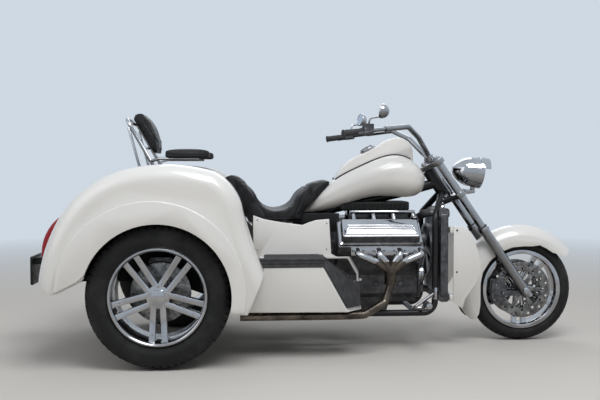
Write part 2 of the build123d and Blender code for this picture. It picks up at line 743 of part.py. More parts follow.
keep(front_drive.part, "front_drive")

# Exhaust headers and side pipes, one welded run a side
COLLECTOR = (1292, -372, 486)
PIPE_Y, PIPE_Z, PIPE_R = -478, 240, 23
PORT_Y, PORT_Z, HEADER_R = -336, 592, 21
headers = None
for x in PORT_X:
    lean = (x - COLLECTOR[0]) * 0.45
    run = tube(
        [
            (x, PORT_Y - 6, PORT_Z), (x, -388, PORT_Z - 20), (COLLECTOR[0] + lean, -388, COLLECTOR[2] + 46),
            (COLLECTOR[0] + 0.06 * lean, COLLECTOR[1], COLLECTOR[2] - 12),
        ],
        HEADER_R, 24,
    )
    headers = run if headers is None else headers + run
flange = box((PORT_X[0] - 40, PORT_X[-1] + 20), (-352, -336), (PORT_Z - 26, PORT_Z + 22))
side_pipe = tube(
    [
        (COLLECTOR[0], COLLECTOR[1], COLLECTOR[2] + 20), (COLLECTOR[0], COLLECTOR[1], 390), (1262, -385, 300),
        (1130, PIPE_Y + 20, PIPE_Z), (1010, PIPE_Y, PIPE_Z), (430, PIPE_Y, PIPE_Z),
    ],
    PIPE_R, 40,
)
collector = tube([(COLLECTOR[0], COLLECTOR[1], COLLECTOR[2] + 20), (COLLECTOR[0], COLLECTOR[1], 400)], 34)
pipe_bore = tube([(600, PIPE_Y, PIPE_Z), (425, PIPE_Y, PIPE_Z)], PIPE_R - 2)
headers = headers + flange + collector + side_pipe - pipe_bore - engine.part
keep(across(headers), "exhaust")

# Radiator with its fan, filler and hose necks, and the painted cowl beside it
RAD_BACK_X, RAD_T, RAD_HALF_W, RAD_Z = 1620, 44, 232, (300, 800)
RAD_X = (RAD_BACK_X, RAD_BACK_X + RAD_T)
RAD_TANK = 10
FAN_X = RAD_X[0] - 46
with BuildPart() as radiator_build:
    with BuildSketch(Plane.YZ.offset(RAD_X[0])):
        with Locations((0, sum(RAD_Z) / 2)):
            RectangleRounded(2 * RAD_HALF_W, RAD_Z[1] - RAD_Z[0], 14)
    extrude(amount=RAD_X[1] - RAD_X[0])
    with BuildSketch(Plane.YZ.offset(FAN_X)):
        with Locations((0, 560)):
            Circle(168)
            Circle(150, mode=Mode.SUBTRACT)
            Circle(40)
            with PolarLocations(95, 6):
                Rectangle(130, 26, rotation=12)
    extrude(amount=RAD_X[0] - FAN_X)
    for z in RAD_Z:
        with BuildSketch(Plane.XZ.offset(-RAD_HALF_W + 12)):
            with Locations((sum(RAD_X) / 2, z)):
                RectangleRounded(RAD_T + 2 * RAD_TANK, 60, 20)
        extrude(amount=2 * (RAD_HALF_W - 12))
    with BuildSketch(Plane.XY.offset(RAD_Z[1] + 20)):
        with Locations((sum(RAD_X) / 2, -120)):
            Circle(24)
    extrude(amount=34)
    for y, z in ((-95, RAD_Z[1] - 4), (110, RAD_Z[0] + 6)):
        with BuildSketch(Plane.YZ.offset(RAD_X[0] - 40)):
            with Locations((y, z)):
                Circle(22)
        extrude(amount=50)
rail_clear = tube(rail_path, RAIL_R + SEAT_GAP, 70)
radiator = radiator_build.part - across(rail_clear)
keep(radiator, "radiator")
hose = tube(
    [
        (RAD_X[0] - 40 - SEAT_GAP, -95, RAD_Z[1] - 4), (RAD_X[0] - 70, -95, RAD_Z[1] - 4),
        (1528, 0, PLENUM_TOP - 50), (1498 + SEAT_GAP, 0, PLENUM_TOP - 50),
    ],
    24, 26,
)
keep(hose, "radiator_hose")

COWL_Y, COWL_T = 238, 12
COWL_X = RAD_X[1] + 28
COWL_OUTLINE = [
    # x ahead of the cheek's rear edge, z
    (0, 723), (64, 723), (108, 678), (146, 583), (164, 500), (160, 440), (136, 385), (70, 290), (56, 234), (12, 262),
    (0, 276),
]
cheek = side_block([(COWL_X + x, z) for x, z in COWL_OUTLINE], -COWL_Y - COWL_T, -COWL_Y)
cowl = across(cheek)
for z in (706, 300):
    cowl = cowl + box((RAD_X[1] + RAD_TANK + SEAT_GAP, COWL_X + 20), (-COWL_Y - 2, COWL_Y + 2), (z - 22, z + 14))
keep(cowl, "radiator_cowl")

# Rear coil-over shocks, leaning from the axle tubes up to the frame rails
shock_foot, shock_top = Vector(-88, -300, REAR_TYRE_R + 20), Vector(-180, -262, 552)
shock_axis = (shock_top - shock_foot).normalized()
with BuildPart() as shock:
    with BuildSketch(Plane(origin=shock_foot, z_dir=shock_axis)):
        Circle(14)
    extrude(amount=(shock_top - shock_foot).length)
    for i in range(6):
        with BuildSketch(Plane(origin=shock_foot + shock_axis * (22 + i * 22), z_dir=shock_axis)):
            Circle(34)
        extrude(amount=11)
lug = side_block(
    [(-104, REAR_TYRE_R + 26), (-104, REAR_TYRE_R - 6), (-10, REAR_TYRE_R - 20), (-10, REAR_TYRE_R + 34)],
    shock_foot.Y - 22, shock_foot.Y + 22,
)
shock_pair = shock.part + lug + tube([(-176, -262, 545), (-176, -RAIL_Y + 10, 502)], 12)
shock_pair = shock_pair - side_disc(0, REAR_TYRE_R, AXLE_TUBE_R + SEAT_GAP, -600, 0) - rail_clear
shock_pair = shock_pair - box((-600, 600), (-600, 600), (BOOT_FLOOR_Z - SKIN - 2, 700))
keep(across(shock_pair), "shocks")

# Rider's seat, with a high back and a nose that climbs the tank
SEAT_BASE_Z = 746
SEAT_PLAN = [(315, 190), (400, 205), (500, 285), (700, 288), (800, 190), (860, 118), (990, 84)]
with BuildPart() as seat:
    with BuildSketch(Plane.XZ.offset(-292)):
        with BuildLine():
            Line((501, SEAT_BASE_Z), (501, 748))
            Line((501, 748), (441, 802))
            ThreePointArc((441, 802), (416, 891), (345, DECK_Z + 1))
            Line((345, DECK_Z + 1), (322, DECK_Z + 1))
            ThreePointArc((322, DECK_Z + 1), (330, 1005), (372, 1034))
            ThreePointArc((372, 1034), (450, 985), (520, 905))
            ThreePointArc((520, 905), (640, 812), (770, 905))
            ThreePointArc((770, 905), (850, 965), (981, 992))
            Line((981, 992), (981, 980))
            Line((981, 980), (806, 805))
            Line((806, 805), (800, SEAT_BASE_Z))
            Line((800, SEAT_BASE_Z), (501, SEAT_BASE_Z))
        make_face()
    extrude(amount=584)
seat_mask = plan_block(SEAT_PLAN + [(x, -y) for x, y in reversed(SEAT_PLAN)], 700, 1100)
keep(seat.part & seat_mask, "rider_seat")

# Passenger's cushion, back pad on its chrome bar, and the two arm pads
PASSENGER_HALF_W = 222
passenger = side_block(
    [(-118, DECK_Z + SEAT_GAP), (310, DECK_Z + SEAT_GAP), (310, 1012), (-118, 1024)],
    -PASSENGER_HALF_W, PASSENGER_HALF_W, 18,
)
keep(passenger, "passenger_seat")

BAR_Y, BAR_R = 245, 11
BAR_TOP = (-218, 1350)
hoop = tube(
    [
        (24, -BAR_Y, DECK_Z), (BAR_TOP[0], -BAR_Y, BAR_TOP[1]), (BAR_TOP[0], BAR_Y, BAR_TOP[1]), (24, BAR_Y, DECK_Z),
    ],
    BAR_R, 50,
)
brace = tube([(BAR_TOP[0] + 12, -BAR_Y, BAR_TOP[1] - 50), (-104, -BAR_Y, DECK_Z)], BAR_R - 3)
arm = tube([(-77, -BAR_Y, 1108), (-30, -BAR_Y - 60, 1122), (60, -345, 1122), (200, -345, 1122)], 9, 24)
sissy = hoop + across(brace + arm) - box((-400, 400), (-400, 400), (DECK_Z - 60, DECK_Z + SEAT_GAP))
PAD_HALF_W = 150
pad_dir = Vector(BAR_TOP[0] + 73, 0, BAR_TOP[1] - 1098).normalized()
pad_plane = Plane(origin=(-150, 0, 1250), x_dir=(0, 1, 0), z_dir=Vector(pad_dir.Z, 0, -pad_dir.X))
pad_low = pad_plane.origin - pad_dir * 118 + pad_plane.z_dir * (BAR_R + 2)
pad_high = pad_plane.origin + pad_dir * 118 + pad_plane.z_dir * (BAR_R + 2)
with BuildPart() as back_pad:
    with BuildSketch(Plane.XZ.offset(-PAD_HALF_W)):
        with BuildLine():
            Line((pad_low.X, pad_low.Z), (pad_high.X, pad_high.Z))
            ThreePointArc((pad_high.X, pad_high.Z), (pad_high.X + 28, pad_high.Z + 34), (pad_high.X + 76, pad_high.Z + 8))
            ThreePointArc((pad_high.X + 76, pad_high.Z + 8), (-78, 1290), (pad_low.X + 26, pad_low.Z - 4))
            Line((pad_low.X + 26, pad_low.Z - 4), (pad_low.X, pad_low.Z))
        make_face()
    extrude(amount=2 * PAD_HALF_W)
    with BuildSketch(Plane(origin=(-150, 0, 1250), x_dir=(0, 1, 0), z_dir=tuple(pad_plane.z_dir))):
        RectangleRounded(2 * PAD_HALF_W, 330, 88)
    extrude(amount=260, both=True, mode=Mode.INTERSECT)
keep(back_pad.part, "back_pad")
# Two bars behind the pad join it to the hoop
CROSS_R = 7
for along in (-80, 80):
    cross_at = pad_plane.origin + pad_dir * along + pad_plane.z_dir * (BAR_R + 2 - SEAT_GAP - CROSS_R)
    sissy = sissy + side_disc(cross_at.X, cross_at.Z, CROSS_R, -BAR_Y, BAR_Y)
keep(sissy, "back_rest_bar")

arm_pad = side_block([(10, 1122), (263, 1122), (263, 1170), (10, 1170)], -390, -300, 14) - arm
keep(across(arm_pad), "arm_pads")

# Fuel tank lofted from rounded sections, with a channel for the spine and a bed for the console
TANK_SECTIONS = [
    # x, bottom z, top z, half width, corner radius
    (815, 800, 824, 40, 11),
    (900, 806, 905, 95, 42),
    (1000, 828, 995, 140, 72),
    (1130, 872, 1066, 172, 88),
    (1280, 900, 1130, 190, 105),
    (1410, 893, 1142, 190, 108),
    (1500, 905, 1092, 160, 84),
    (1550, 962, 1034, 92, 34),
]
with BuildPart() as tank_build:
    for x, low, high, half_w, corner in TANK_SECTIONS:
        with BuildSketch(Plane.YZ.offset(x)):
            with Locations((0, (low + high) / 2)):
                RectangleRounded(2 * half_w, high - low, corner)
    loft()
CONSOLE_HALF_W = 74
console_bed = [(1004, 992), (1130, 1046), (1280, 1104), (1460, 1098)]
seat_line = side_block([(700, 699), (984, 983), (984, 1100), (700, 1100)], -220, 220)
tunnel = tube(spine_points, TANK_TUNNEL, 120)
tank = tank_build.part - seat_line - tunnel
for (x0, _, z0), (x1, _, z1) in zip(spine_points, spine_points[1:3]):
    tank = tank - side_block([(x0, z0), (x1, z1), (x1, z1 - 160), (x0, z0 - 160)], -TANK_TUNNEL, TANK_TUNNEL)
tank = tank - side_block(
    console_bed + [(1600, 1098), (1600, 1300), (1004, 1300)], -CONSOLE_HALF_W - SEAT_GAP, CONSOLE_HALF_W + SEAT_GAP
)
tank = tank.solids().sort_by(SortBy.VOLUME)[-1]
keep(tank, "fuel_tank")

with BuildPart() as console:
    with BuildSketch(Plane.XZ.offset(-CONSOLE_HALF_W)):
        with BuildLine():
            Polyline(*[(x, z + SEAT_GAP) for x, z in console_bed], (1484, 1098 + SEAT_GAP), (1478, 1172))
            ThreePointArc((1478, 1172), (1440, 1236), (1388, 1254))
            ThreePointArc((1388, 1254), (1330, 1240), (1269, 1202))
            Line((1269, 1202), (1150, 1143))
            ThreePointArc((1150, 1143), (1060, 1082), (1004, 992 + SEAT_GAP))
        make_face()
    extrude(amount=2 * CONSOLE_HALF_W)
keep(console.part, "tank_console")
GAUGE_PLANE = Plane(origin=(1216, 0, 1176), x_dir=(0, 1, 0), z_dir=(-0.445, 0, 0.896))
with BuildPart() as gauge:
    with BuildSketch(GAUGE_PLANE.offset(SEAT_GAP)):
        Circle(48)
    extrude(amount=20)
    chamfer(gauge.faces().sort_by(Axis.Z)[-1].edges(), 6)
keep(gauge.part, "speedometer")

# Foot controls: a bracket from the frame rail, peg, and brake pedal on the right
peg_bracket = tube([(1500, -RAIL_Y, 216), (1500, -300, 250), (1500, -380, 285)], 12, 30)
peg = side_disc(1500, 285, 17, -470, -370)
pedal = tube([(1440, -300, 250), (1440, -372, 268), (1545, -392, 350)], 9, 14) + box((1538, 1552), (-430, -360), (318, 386))
pedal = pedal + tube([(1500, -300, 250), (1440, -300, 250)], 10)
controls = peg_bracket + peg + pedal - rail_clear
keep(across(controls), "foot_controls")

# Fork: clamps on the stem, and legs of a chrome tube in a fatter slider
UPPER_CLAMP_H = HEAD_HIGH + 8
TUBE_TOP_H = UPPER_CLAMP_H + CLAMP_T + 14
SLIDER_TOP_H = 470


def clamp_plate(height):
    """One fork clamp: a plate that spans both legs and the stem."""
    with BuildPart() as plate:
        with BuildSketch(steer_plane(height)):
            with Locations((0, 0)):
                Circle(34)
            with Locations((FORK_OFFSET, FORK_LEG_Y), (FORK_OFFSET, -FORK_LEG_Y)):
                Circle(FORK_TUBE_R + 14)
            with BuildLine():
                Polyline(
                    (-30, -20), (FORK_OFFSET - 30, -FORK_LEG_Y - 6), (FORK_OFFSET + 26, -FORK_LEG_Y),
                    (FORK_OFFSET + 22, 0), (FORK_OFFSET + 26, FORK_LEG_Y), (FORK_OFFSET - 30, FORK_LEG_Y + 6), (-30, 20),
                    close=True,
                )
            make_face()
            with Locations((FORK_OFFSET, FORK_LEG_Y), (FORK_OFFSET, -FORK_LEG_Y)):
                Circle(FORK_TUBE_R + SEAT_GAP, mode=Mode.SUBTRACT)
        extrude(amount=CLAMP_T)
    return plate.part


with BuildPart() as clamps:
    add(clamp_plate(LOWER_CLAMP_H))
    add(clamp_plate(UPPER_CLAMP_H))
    with BuildSketch(steer_plane(LOWER_CLAMP_H)):
        Circle(STEM_R)
    extrude(amount=UPPER_CLAMP_H - LOWER_CLAMP_H + 5)
    with BuildSketch(steer_plane(UPPER_CLAMP_H + CLAMP_T)):
        Circle(18)
    extrude(amount=10)
keep(clamps.part, "fork_clamps")

with BuildPart() as fork:
    for y in (-FORK_LEG_Y, FORK_LEG_Y):
        with BuildSketch(steer_plane(SLIDER_TOP_H - 60, FORK_OFFSET, y)):
            Circle(FORK_TUBE_R)
        extrude(amount=TUBE_TOP_H - SLIDER_TOP_H + 60)
        with BuildSketch(steer_plane(-34, FORK_OFFSET, y)):
            Circle(FORK_SLIDER_R)
        extrude(amount=SLIDER_TOP_H + 34)
        with BuildSketch(steer_plane(SLIDER_TOP_H - 26, FORK_OFFSET, y)):
            Circle(FORK_SLIDER_R + 4)
        extrude(amount=20)
fork = fork.part - side_disc(WHEELBASE, FRONT_TYRE_R, FRONT_SPINDLE_R + SEAT_GAP, -200, 200)
keep(fork, "fork_legs")

# Front wheel with twin drilled discs, and its axle
FRONT_HUB_HALF = 64
DISC_Y, DISC_T, FRONT_DISC_R = 76, 5, 172
front_axle = side_disc(
    WHEELBASE, FRONT_TYRE_R, FRONT_SPINDLE_R, -FORK_LEG_Y - FORK_SLIDER_R - 8, FORK_LEG_Y + FORK_SLIDER_R + 8
)
nut = side_disc(WHEELBASE, FRONT_TYRE_R, 19, -FORK_LEG_Y - FORK_SLIDER_R - 14, -FORK_LEG_Y - FORK_SLIDER_R - SEAT_GAP)
keep(front_axle + across(nut), "front_axle")
keep(tyre(FRONT_AXLE, FRONT_TYRE_R, FRONT_TYRE_W, FRONT_BEAD_R, 0), "front_tyre")
keep(
    rim(
        FRONT_AXLE, FRONT_TYRE_W, FRONT_BEAD_R, FRONT_LIP_R, 0, -18, 36, 44, FRONT_HUB_HALF,
        FRONT_SPINDLE_R + RUN_GAP,
    ),
    "front_rim",
)
with BuildPart() as disc:
    with BuildSketch(Plane.XZ.offset(DISC_Y - DISC_T / 2)):
        with Locations((WHEELBASE, FRONT_TYRE_R)):
            Circle(FRONT_DISC_R)
            Circle(FRONT_DISC_R - 58, mode=Mode.SUBTRACT)
            with PolarLocations(FRONT_DISC_R - 44, 12):
                Circle(8, mode=Mode.SUBTRACT)
            with PolarLocations(FRONT_DISC_R - 20, 12, start_angle=15):
                Circle(7, mode=Mode.SUBTRACT)
    extrude(amount=DISC_T)
    with BuildSketch(Plane.XZ.offset(DISC_Y - DISC_T / 2)):
        with Locations((WHEELBASE, FRONT_TYRE_R)):
            Circle(40)
            with PolarLocations(75, 6):
                Rectangle(90, 22)
            Circle(FRONT_SPINDLE_R + RUN_GAP, mode=Mode.SUBTRACT)
    extrude(amount=DISC_T)
    with BuildSketch(Plane.XZ.offset(FRONT_HUB_HALF + SEAT_GAP)):
        with Locations((WHEELBASE, FRONT_TYRE_R)):
            Circle(30)
            Circle(FRONT_SPINDLE_R + RUN_GAP, mode=Mode.SUBTRACT)
    extrude(amount=DISC_Y - FRONT_HUB_HALF)
keep(across(disc.part), "front_discs")

# Calipers behind the legs, each astride its disc
CALIPER_GAP = 5
with BuildPart() as caliper:
    with BuildSketch(Plane.XZ.offset(DISC_Y - 15)):
        with BuildLine():
            Polyline((2040, 222), (2062, 330), (2040, 392), (1972, 384), (1964, 300), (1980, 236), close=True)
        make_face()
        fillet(vertices(), 8)
    extrude(amount=44)
caliper = caliper.part
caliper = caliper + box((2030, 2164), (-FORK_LEG_Y + 4, -FORK_LEG_Y + 24), (288, 318))
caliper = caliper - side_disc(WHEELBASE, FRONT_TYRE_R, FRONT_DISC_R + CALIPER_GAP, -DISC_Y - DISC_T / 2 - CALIPER_GAP, -DISC_Y + DISC_T / 2 + CALIPER_GAP)
with BuildPart() as leg_clear:
    with BuildSketch(steer_plane(-60, FORK_OFFSET, -FORK_LEG_Y)):
        Circle(FORK_SLIDER_R + SEAT_GAP)
    extrude(amount=500)
caliper = caliper - leg_clear.part
keep(across(caliper), "front_calipers")

# Front fender: a deep valanced guard turned about the axle, with a shaped lower edge
GUARD_R, GUARD_T = 398, 5
GUARD_HALF_W = FORK_LEG_Y - FORK_SLIDER_R - SEAT_GAP
with BuildPart() as guard:
    with BuildSketch(Plane.YZ.offset(WHEELBASE)):
        for wall, mode in ((0, Mode.ADD), (GUARD_T, Mode.SUBTRACT)):
            with BuildLine():
                w = GUARD_HALF_W - wall
                z0 = FRONT_TYRE_R
                low = 262 if not wall else 250
                Line((-w, z0 + low), (-w, z0 + 330))
                ThreePointArc((-w, z0 + 330), (0, z0 + GUARD_R - wall), (w, z0 + 330))
                Line((w, z0 + 330), (w, z0 + low))
                Line((w, z0 + low), (-w, z0 + low))
            make_face(mode=mode)
    revolve(axis=FRONT_AXLE)
# The side view that stays: from the front tip over the wheel and down behind it
with BuildPart() as guard_side:
    with BuildSketch(Plane.XZ.offset(-GUARD_HALF_W - 20)):
        with BuildLine():
            Polyline(
                (WHEELBASE, FRONT_TYRE_R + 268), (2232, 588), (2270, 594), (2312, 574), (2352, 548), (2440, 520),
                (2600, 700), (2300, 900), (1900, 900), (1600, 600), (1600, 222), (1786, 218), (1816, 168),
                (1846, 140), (1872, 138), (1892, 172), (1901, 230), (1901, 360), (1915, 430), (1960, 500), (2030, 556), (2100, 582), close=True,
            )
        make_face()
    extrude(amount=2 * GUARD_HALF_W + 40)
guard = (guard.part & guard_side.part).solids().sort_by(SortBy.VOLUME)[-1]
keep(guard, "front_fender")

# Handlebar on the upper clamp, with grips, hand controls and mirrors
bar_half = [(1592, 0, 1140), (1578, -52, 1152), (1500, -140, 1252), (1412, -268, 1310), (1262, -352, 1292), (1010, -455, 1262)]
half_bar = tube(bar_half[-2:], 12.5) + tube(bar_half[:-1], 16, 44)
bar = half_bar + mirror(half_bar, about=Plane.XZ)
risers = tube([(1598, -52, 1112), (1590, -52, 1150)], 17)
keep(bar + across(risers) - clamps.part, "handlebar")
bar_end, bar_in = Vector(1010, -455, 1262), Vector(1262, -352, 1292)
bar_run = (bar_in - bar_end).normalized()
grip_plane = Plane(origin=bar_end - bar_run * 4, z_dir=bar_run)
GRIP_LEN, GRIP_R = 124, 17
with BuildPart() as grip:
    with BuildSketch(grip_plane):
        Circle(GRIP_R)
    extrude(amount=GRIP_LEN)
    for ring_at in (0, GRIP_LEN - 8):
        with BuildSketch(grip_plane.offset(ring_at)):
            Circle(GRIP_R + 4)
        extrude(amount=8)
grip = grip.part - tube([tuple(bar_end - bar_run * 0.01), tuple(bar_in)], 12.5 + SEAT_GAP)
keep(across(grip), "grips")

# Switch case, fluid reservoir and lever beside each grip, clamped round the bar
with BuildPart() as hand_control:
    with BuildSketch(Plane(origin=bar_end + bar_run * (GRIP_LEN + 2), z_dir=bar_run)):
        RectangleRounded(40, 44, 10)
    extrude(amount=56)
    with BuildSketch(Plane(origin=bar_end + bar_run * (GRIP_LEN + 36), x_dir=(bar_run.X, bar_run.Y, 0), z_dir=(0, 0, 1)).offset(10)):
        RectangleRounded(64, 36, 8)
    extrude(amount=30)
lever_foot = bar_end + bar_run * (GRIP_LEN + 30)
lever = tube(
    [tuple(lever_foot), (lever_foot.X + 52, lever_foot.Y - 42, lever_foot.Z - 2), (bar_end.X + 78, bar_end.Y - 40, bar_end.Z - 4)],
    7, 20,
)
control_pair = hand_control.part + lever - tube([tuple(bar_end), tuple(bar_in)], 12.5 + SEAT_GAP)
keep(across(control_pair), "hand_controls")

# Mirrors on short stalks from the hand controls
MIRROR_AT = Vector(1226, -432, 1390)
stalk_foot = bar_end + bar_run * (GRIP_LEN + 40) + Vector(0, 0, 41.7)
MIRROR_R, MIRROR_DEPTH = 42, 46
mirror_dir = Vector(0.90, -0.34, -0.22).normalized()
mirror_plane = Plane(origin=tuple(MIRROR_AT), x_dir=tuple(mirror_dir), z_dir=tuple(mirror_dir.cross(Vector(0, 0, 1)).normalized()))
with BuildPart() as mirror_head:
    with BuildSketch(mirror_plane):
        with BuildLine():
            Polyline((0, 0), (0, MIRROR_R), (10, MIRROR_R))
            ThreePointArc((10, MIRROR_R), (32, 0.74 * MIRROR_R), (MIRROR_DEPTH, 8))
            Polyline((MIRROR_DEPTH, 8), (MIRROR_DEPTH, 0), (0, 0))
        make_face()
    revolve(axis=Axis(tuple(MIRROR_AT), tuple(mirror_dir)))
stalk = tube([tuple(stalk_foot), (stalk_foot.X + 8, stalk_foot.Y - 6, stalk_foot.Z + 30), (MIRROR_AT.X + 16, MIRROR_AT.Y - 6, MIRROR_AT.Z - 28)], 6, 12)
mirror_pair = mirror_head.part + stalk
keep(across(mirror_pair), "mirrors")

# Headlight: a domed shell with a visor, its glass, and the bracket from the lower clamp
LAMP_TILT = 8
LAMP_CENTRE = Vector(1850, 0, 1046)
LAMP_R = 96
lamp_dir = Vector(math.cos(math.radians(LAMP_TILT)), 0, -math.sin(math.radians(LAMP_TILT)))
lamp_down = Vector(lamp_dir.Z, 0, -lamp_dir.X)
lamp_foot = LAMP_CENTRE + lamp_dir * 34 + lamp_down * 110
lamp_plane = Plane(origin=tuple(LAMP_CENTRE), x_dir=tuple(lamp_dir), z_dir=(0, -1, 0))
with BuildPart() as headlight:
    with BuildSketch(lamp_plane):
        with BuildLine():
            Line((-108, 0), (-108, 20))
            ThreePointArc((-108, 20), (-62, 68), (10, LAMP_R - 6))
            Line((10, LAMP_R - 6), (58, LAMP_R))
            Line((58, LAMP_R), (72, LAMP_R))
            Line((72, LAMP_R), (72, LAMP_R - 10))
            Line((72, LAMP_R - 10), (60, LAMP_R - 12))
            Line((60, LAMP_R - 12), (60, 0))
            Line((60, 0), (-108, 0))
        make_face()
    revolve(axis=Axis(tuple(LAMP_CENTRE), tuple(lamp_dir)))
    with BuildSketch(Plane(origin=tuple(lamp_foot), x_dir=tuple(lamp_dir), z_dir=tuple(lamp_down))):
        Circle(15)
    extrude(amount=-50)
with BuildPart() as visor:
    with BuildSketch(Plane(origin=tuple(LAMP_CENTRE + lamp_dir * 50), x_dir=(0, 1, 0), z_dir=tuple(lamp_dir))):
        Circle(LAMP_R + 3)
        Circle(LAMP_R - 0.5, mode=Mode.SUBTRACT)
        with Locations((0, -70)):
            Rectangle(300, 200, mode=Mode.SUBTRACT)
    extrude(amount=58)
keep(headlight.part + visor.part, "headlight")
with BuildPart() as lamp_glass:
    with BuildSketch(lamp_plane):
        with BuildLine():
            Line((60 + SEAT_GAP, 0), (60 + SEAT_GAP, LAMP_R - 13))
            Line((60 + SEAT_GAP, LAMP_R - 13), (66, LAMP_R - 13))
            ThreePointArc((66, LAMP_R - 13), (72.4, 46), (74, 9))
            Line((74, 9), (74, 0))
            Line((74, 0), (60 + SEAT_GAP, 0))
        make_face()
    revolve(axis=Axis(tuple(LAMP_CENTRE), tuple(lamp_dir)))
keep(lamp_glass.part, "headlight_glass")
# Bracket from the lower clamp's front face to the foot under the shell
clamp_low = steer_plane(LOWER_CLAMP_H + 2, FORK_OFFSET + 23).origin
clamp_high = steer_plane(LOWER_CLAMP_H + CLAMP_T - 2, FORK_OFFSET + 23).origin
foot_back = lamp_foot - lamp_dir * 16 + lamp_down * SEAT_GAP
foot_front = lamp_foot + lamp_dir * 16 + lamp_down * SEAT_GAP
bracket = side_block(
    [
        (clamp_low.X, clamp_low.Z), (clamp_high.X, clamp_high.Z), (1800, 942),
        (foot_back.X, foot_back.Z), (foot_front.X, foot_front.Z), (foot_front.X - 4, 914), (1835, 908),
    ],
    -18, 18,
)
keep(bracket, "headlight_bracket")
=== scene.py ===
"""Finished look of a three-wheeled cruiser with a V8 engine: paint, chrome, leather, rubber and lamps."""

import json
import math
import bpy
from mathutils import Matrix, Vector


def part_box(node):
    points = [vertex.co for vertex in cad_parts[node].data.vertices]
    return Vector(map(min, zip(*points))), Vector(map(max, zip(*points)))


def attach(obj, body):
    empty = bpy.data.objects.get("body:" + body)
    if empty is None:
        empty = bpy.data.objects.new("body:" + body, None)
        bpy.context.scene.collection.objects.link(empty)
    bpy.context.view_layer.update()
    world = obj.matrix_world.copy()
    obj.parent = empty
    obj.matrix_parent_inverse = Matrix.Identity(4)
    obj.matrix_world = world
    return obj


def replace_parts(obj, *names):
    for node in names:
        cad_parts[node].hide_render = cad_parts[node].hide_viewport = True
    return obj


bl_info = {
    "name": "Three-wheeled cruiser finish",
    "version": (1, 0, 0),
    "blender": (4, 5, 0),
    "location": "3D View > Sidebar > Cruiser",
    "description": "Dresses the packed cruiser with seats, tyres, trim, lamps and procedural finishes",
    "category": "Object",
}

import bmesh
import bpy
from mathutils import Matrix, Vector
from mathutils.bvhtree import BVHTree

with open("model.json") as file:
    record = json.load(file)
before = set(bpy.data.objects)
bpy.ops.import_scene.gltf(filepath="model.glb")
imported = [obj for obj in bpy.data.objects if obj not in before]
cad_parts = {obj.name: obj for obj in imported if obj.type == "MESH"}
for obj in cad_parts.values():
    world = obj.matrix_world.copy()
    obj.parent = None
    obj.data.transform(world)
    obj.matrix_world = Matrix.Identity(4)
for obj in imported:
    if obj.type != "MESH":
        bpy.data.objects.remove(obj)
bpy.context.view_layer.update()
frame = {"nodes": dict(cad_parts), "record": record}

# Places are taken from the ground point under the rear axle; the frame's origin lies this far ahead of it
AXLE_TO_ORIGIN = -sum(c.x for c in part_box("rear_rim_right")) / 2
BODY_OF = {node: body for body, nodes in frame["record"]["behaviour"]["bodies"].items() for node in nodes}
WHEELS = {"rear": (0, 0.39, 0.6), "front": (2.168, 0.32, 0)}
STEERING = next(j for j in frame["record"]["behaviour"]["joints"] if j["name"] == "steering_turn")
STEER_AT, STEER_UP = Vector(STEERING["pos_m"]), Vector(STEERING["axis"])
STEER_AHEAD = Vector((STEER_UP.z, 0, -STEER_UP.x))
UP, DOWN = Vector((0, 0, 1)), Vector((0, 0, -1))
INWARD = Vector((0, 1, 0))
SIDES = (("right", -1), ("left", 1))


def at(x, y, z):
    """A place measured from under the rear axle, in the frame's own coordinates."""
    return Vector((x - AXLE_TO_ORIGIN, y, z))


def steer(height, ahead, y):
    """A place measured up the steering axis, ahead of it and to the left."""
    return STEER_AT + STEER_UP * height + STEER_AHEAD * ahead + Vector((0, y, 0))


# Sizes and colours

def size(name, default, text, top=1.0):
    """A length that the sidebar shows."""
    return bpy.props.FloatProperty(
        name=name, description=text, default=default, min=0, max=top, subtype="DISTANCE", unit="LENGTH"
    )


def tint(name, default, text):
    """A colour that the sidebar shows."""
    return bpy.props.FloatVectorProperty(
        name=name, description=text, default=default, min=0, max=1, size=3, subtype="COLOR"
    )


class CruiserColours(bpy.types.PropertyGroup):
    """Colours of the finishes."""
    paint: tint("Paint", (0.74, 0.725, 0.69), "Pearl white body paint")
    leather: tint("Leather", (0.010, 0.010, 0.011), "Seat and pad covers")
    chrome: tint("Chrome", (0.66, 0.66, 0.68), "Bright plated metal")
    # A darker copy of the chrome: on the fork and bars it gives their dark look; on the insides of the wheel
    # barrels and on the spoke flanks it is painted shade.
    smoked: tint("Smoked chrome", (0.34, 0.34, 0.35), "Darker plating of the fork, bars and wheel barrels")
    casting: tint("Casting", (0.105, 0.105, 0.11), "Engine and gearbox castings")
    frame_black: tint("Frame black", (0.012, 0.012, 0.013), "Frame tubes and brackets")
    dark_steel: tint("Dark steel", (0.06, 0.06, 0.065), "Axle, shocks and calipers")
    rubber: tint("Rubber", (0.010, 0.010, 0.010), "Tyres")
    mat: tint("Mat rubber", (0.040, 0.040, 0.043), "Board mats and grips")
    lens_red: tint("Red lens", (0.16, 0.006, 0.010), "Tail lamps")


class CruiserSizes(bpy.types.PropertyGroup):
    """Sizes of the added detail."""
    edge: size("Panel edge", 0.004, "Rounding of painted panel edges", 0.02)
    metal_edge: size("Metal edge", 0.0015, "Rounding of cast and plated edges", 0.01)
    piping: size("Piping", 0.0038, "Radius of the seat piping", 0.02)
    swell: size("Swell", 0.012, "How far a pad may puff out", 0.05)
    screw: size("Screw head", 0.006, "Radius of a cover screw's head", 0.03)
    tread: size("Tread depth", 0.007, "Depth of the tyre grooves", 0.02)
    bead: size("Bead", 0.0035, "Radius of one bead of the lid trim", 0.02)
    rib: size("Mat rib", 0.003, "Height of the ribs on the board mats", 0.02)


# Materials

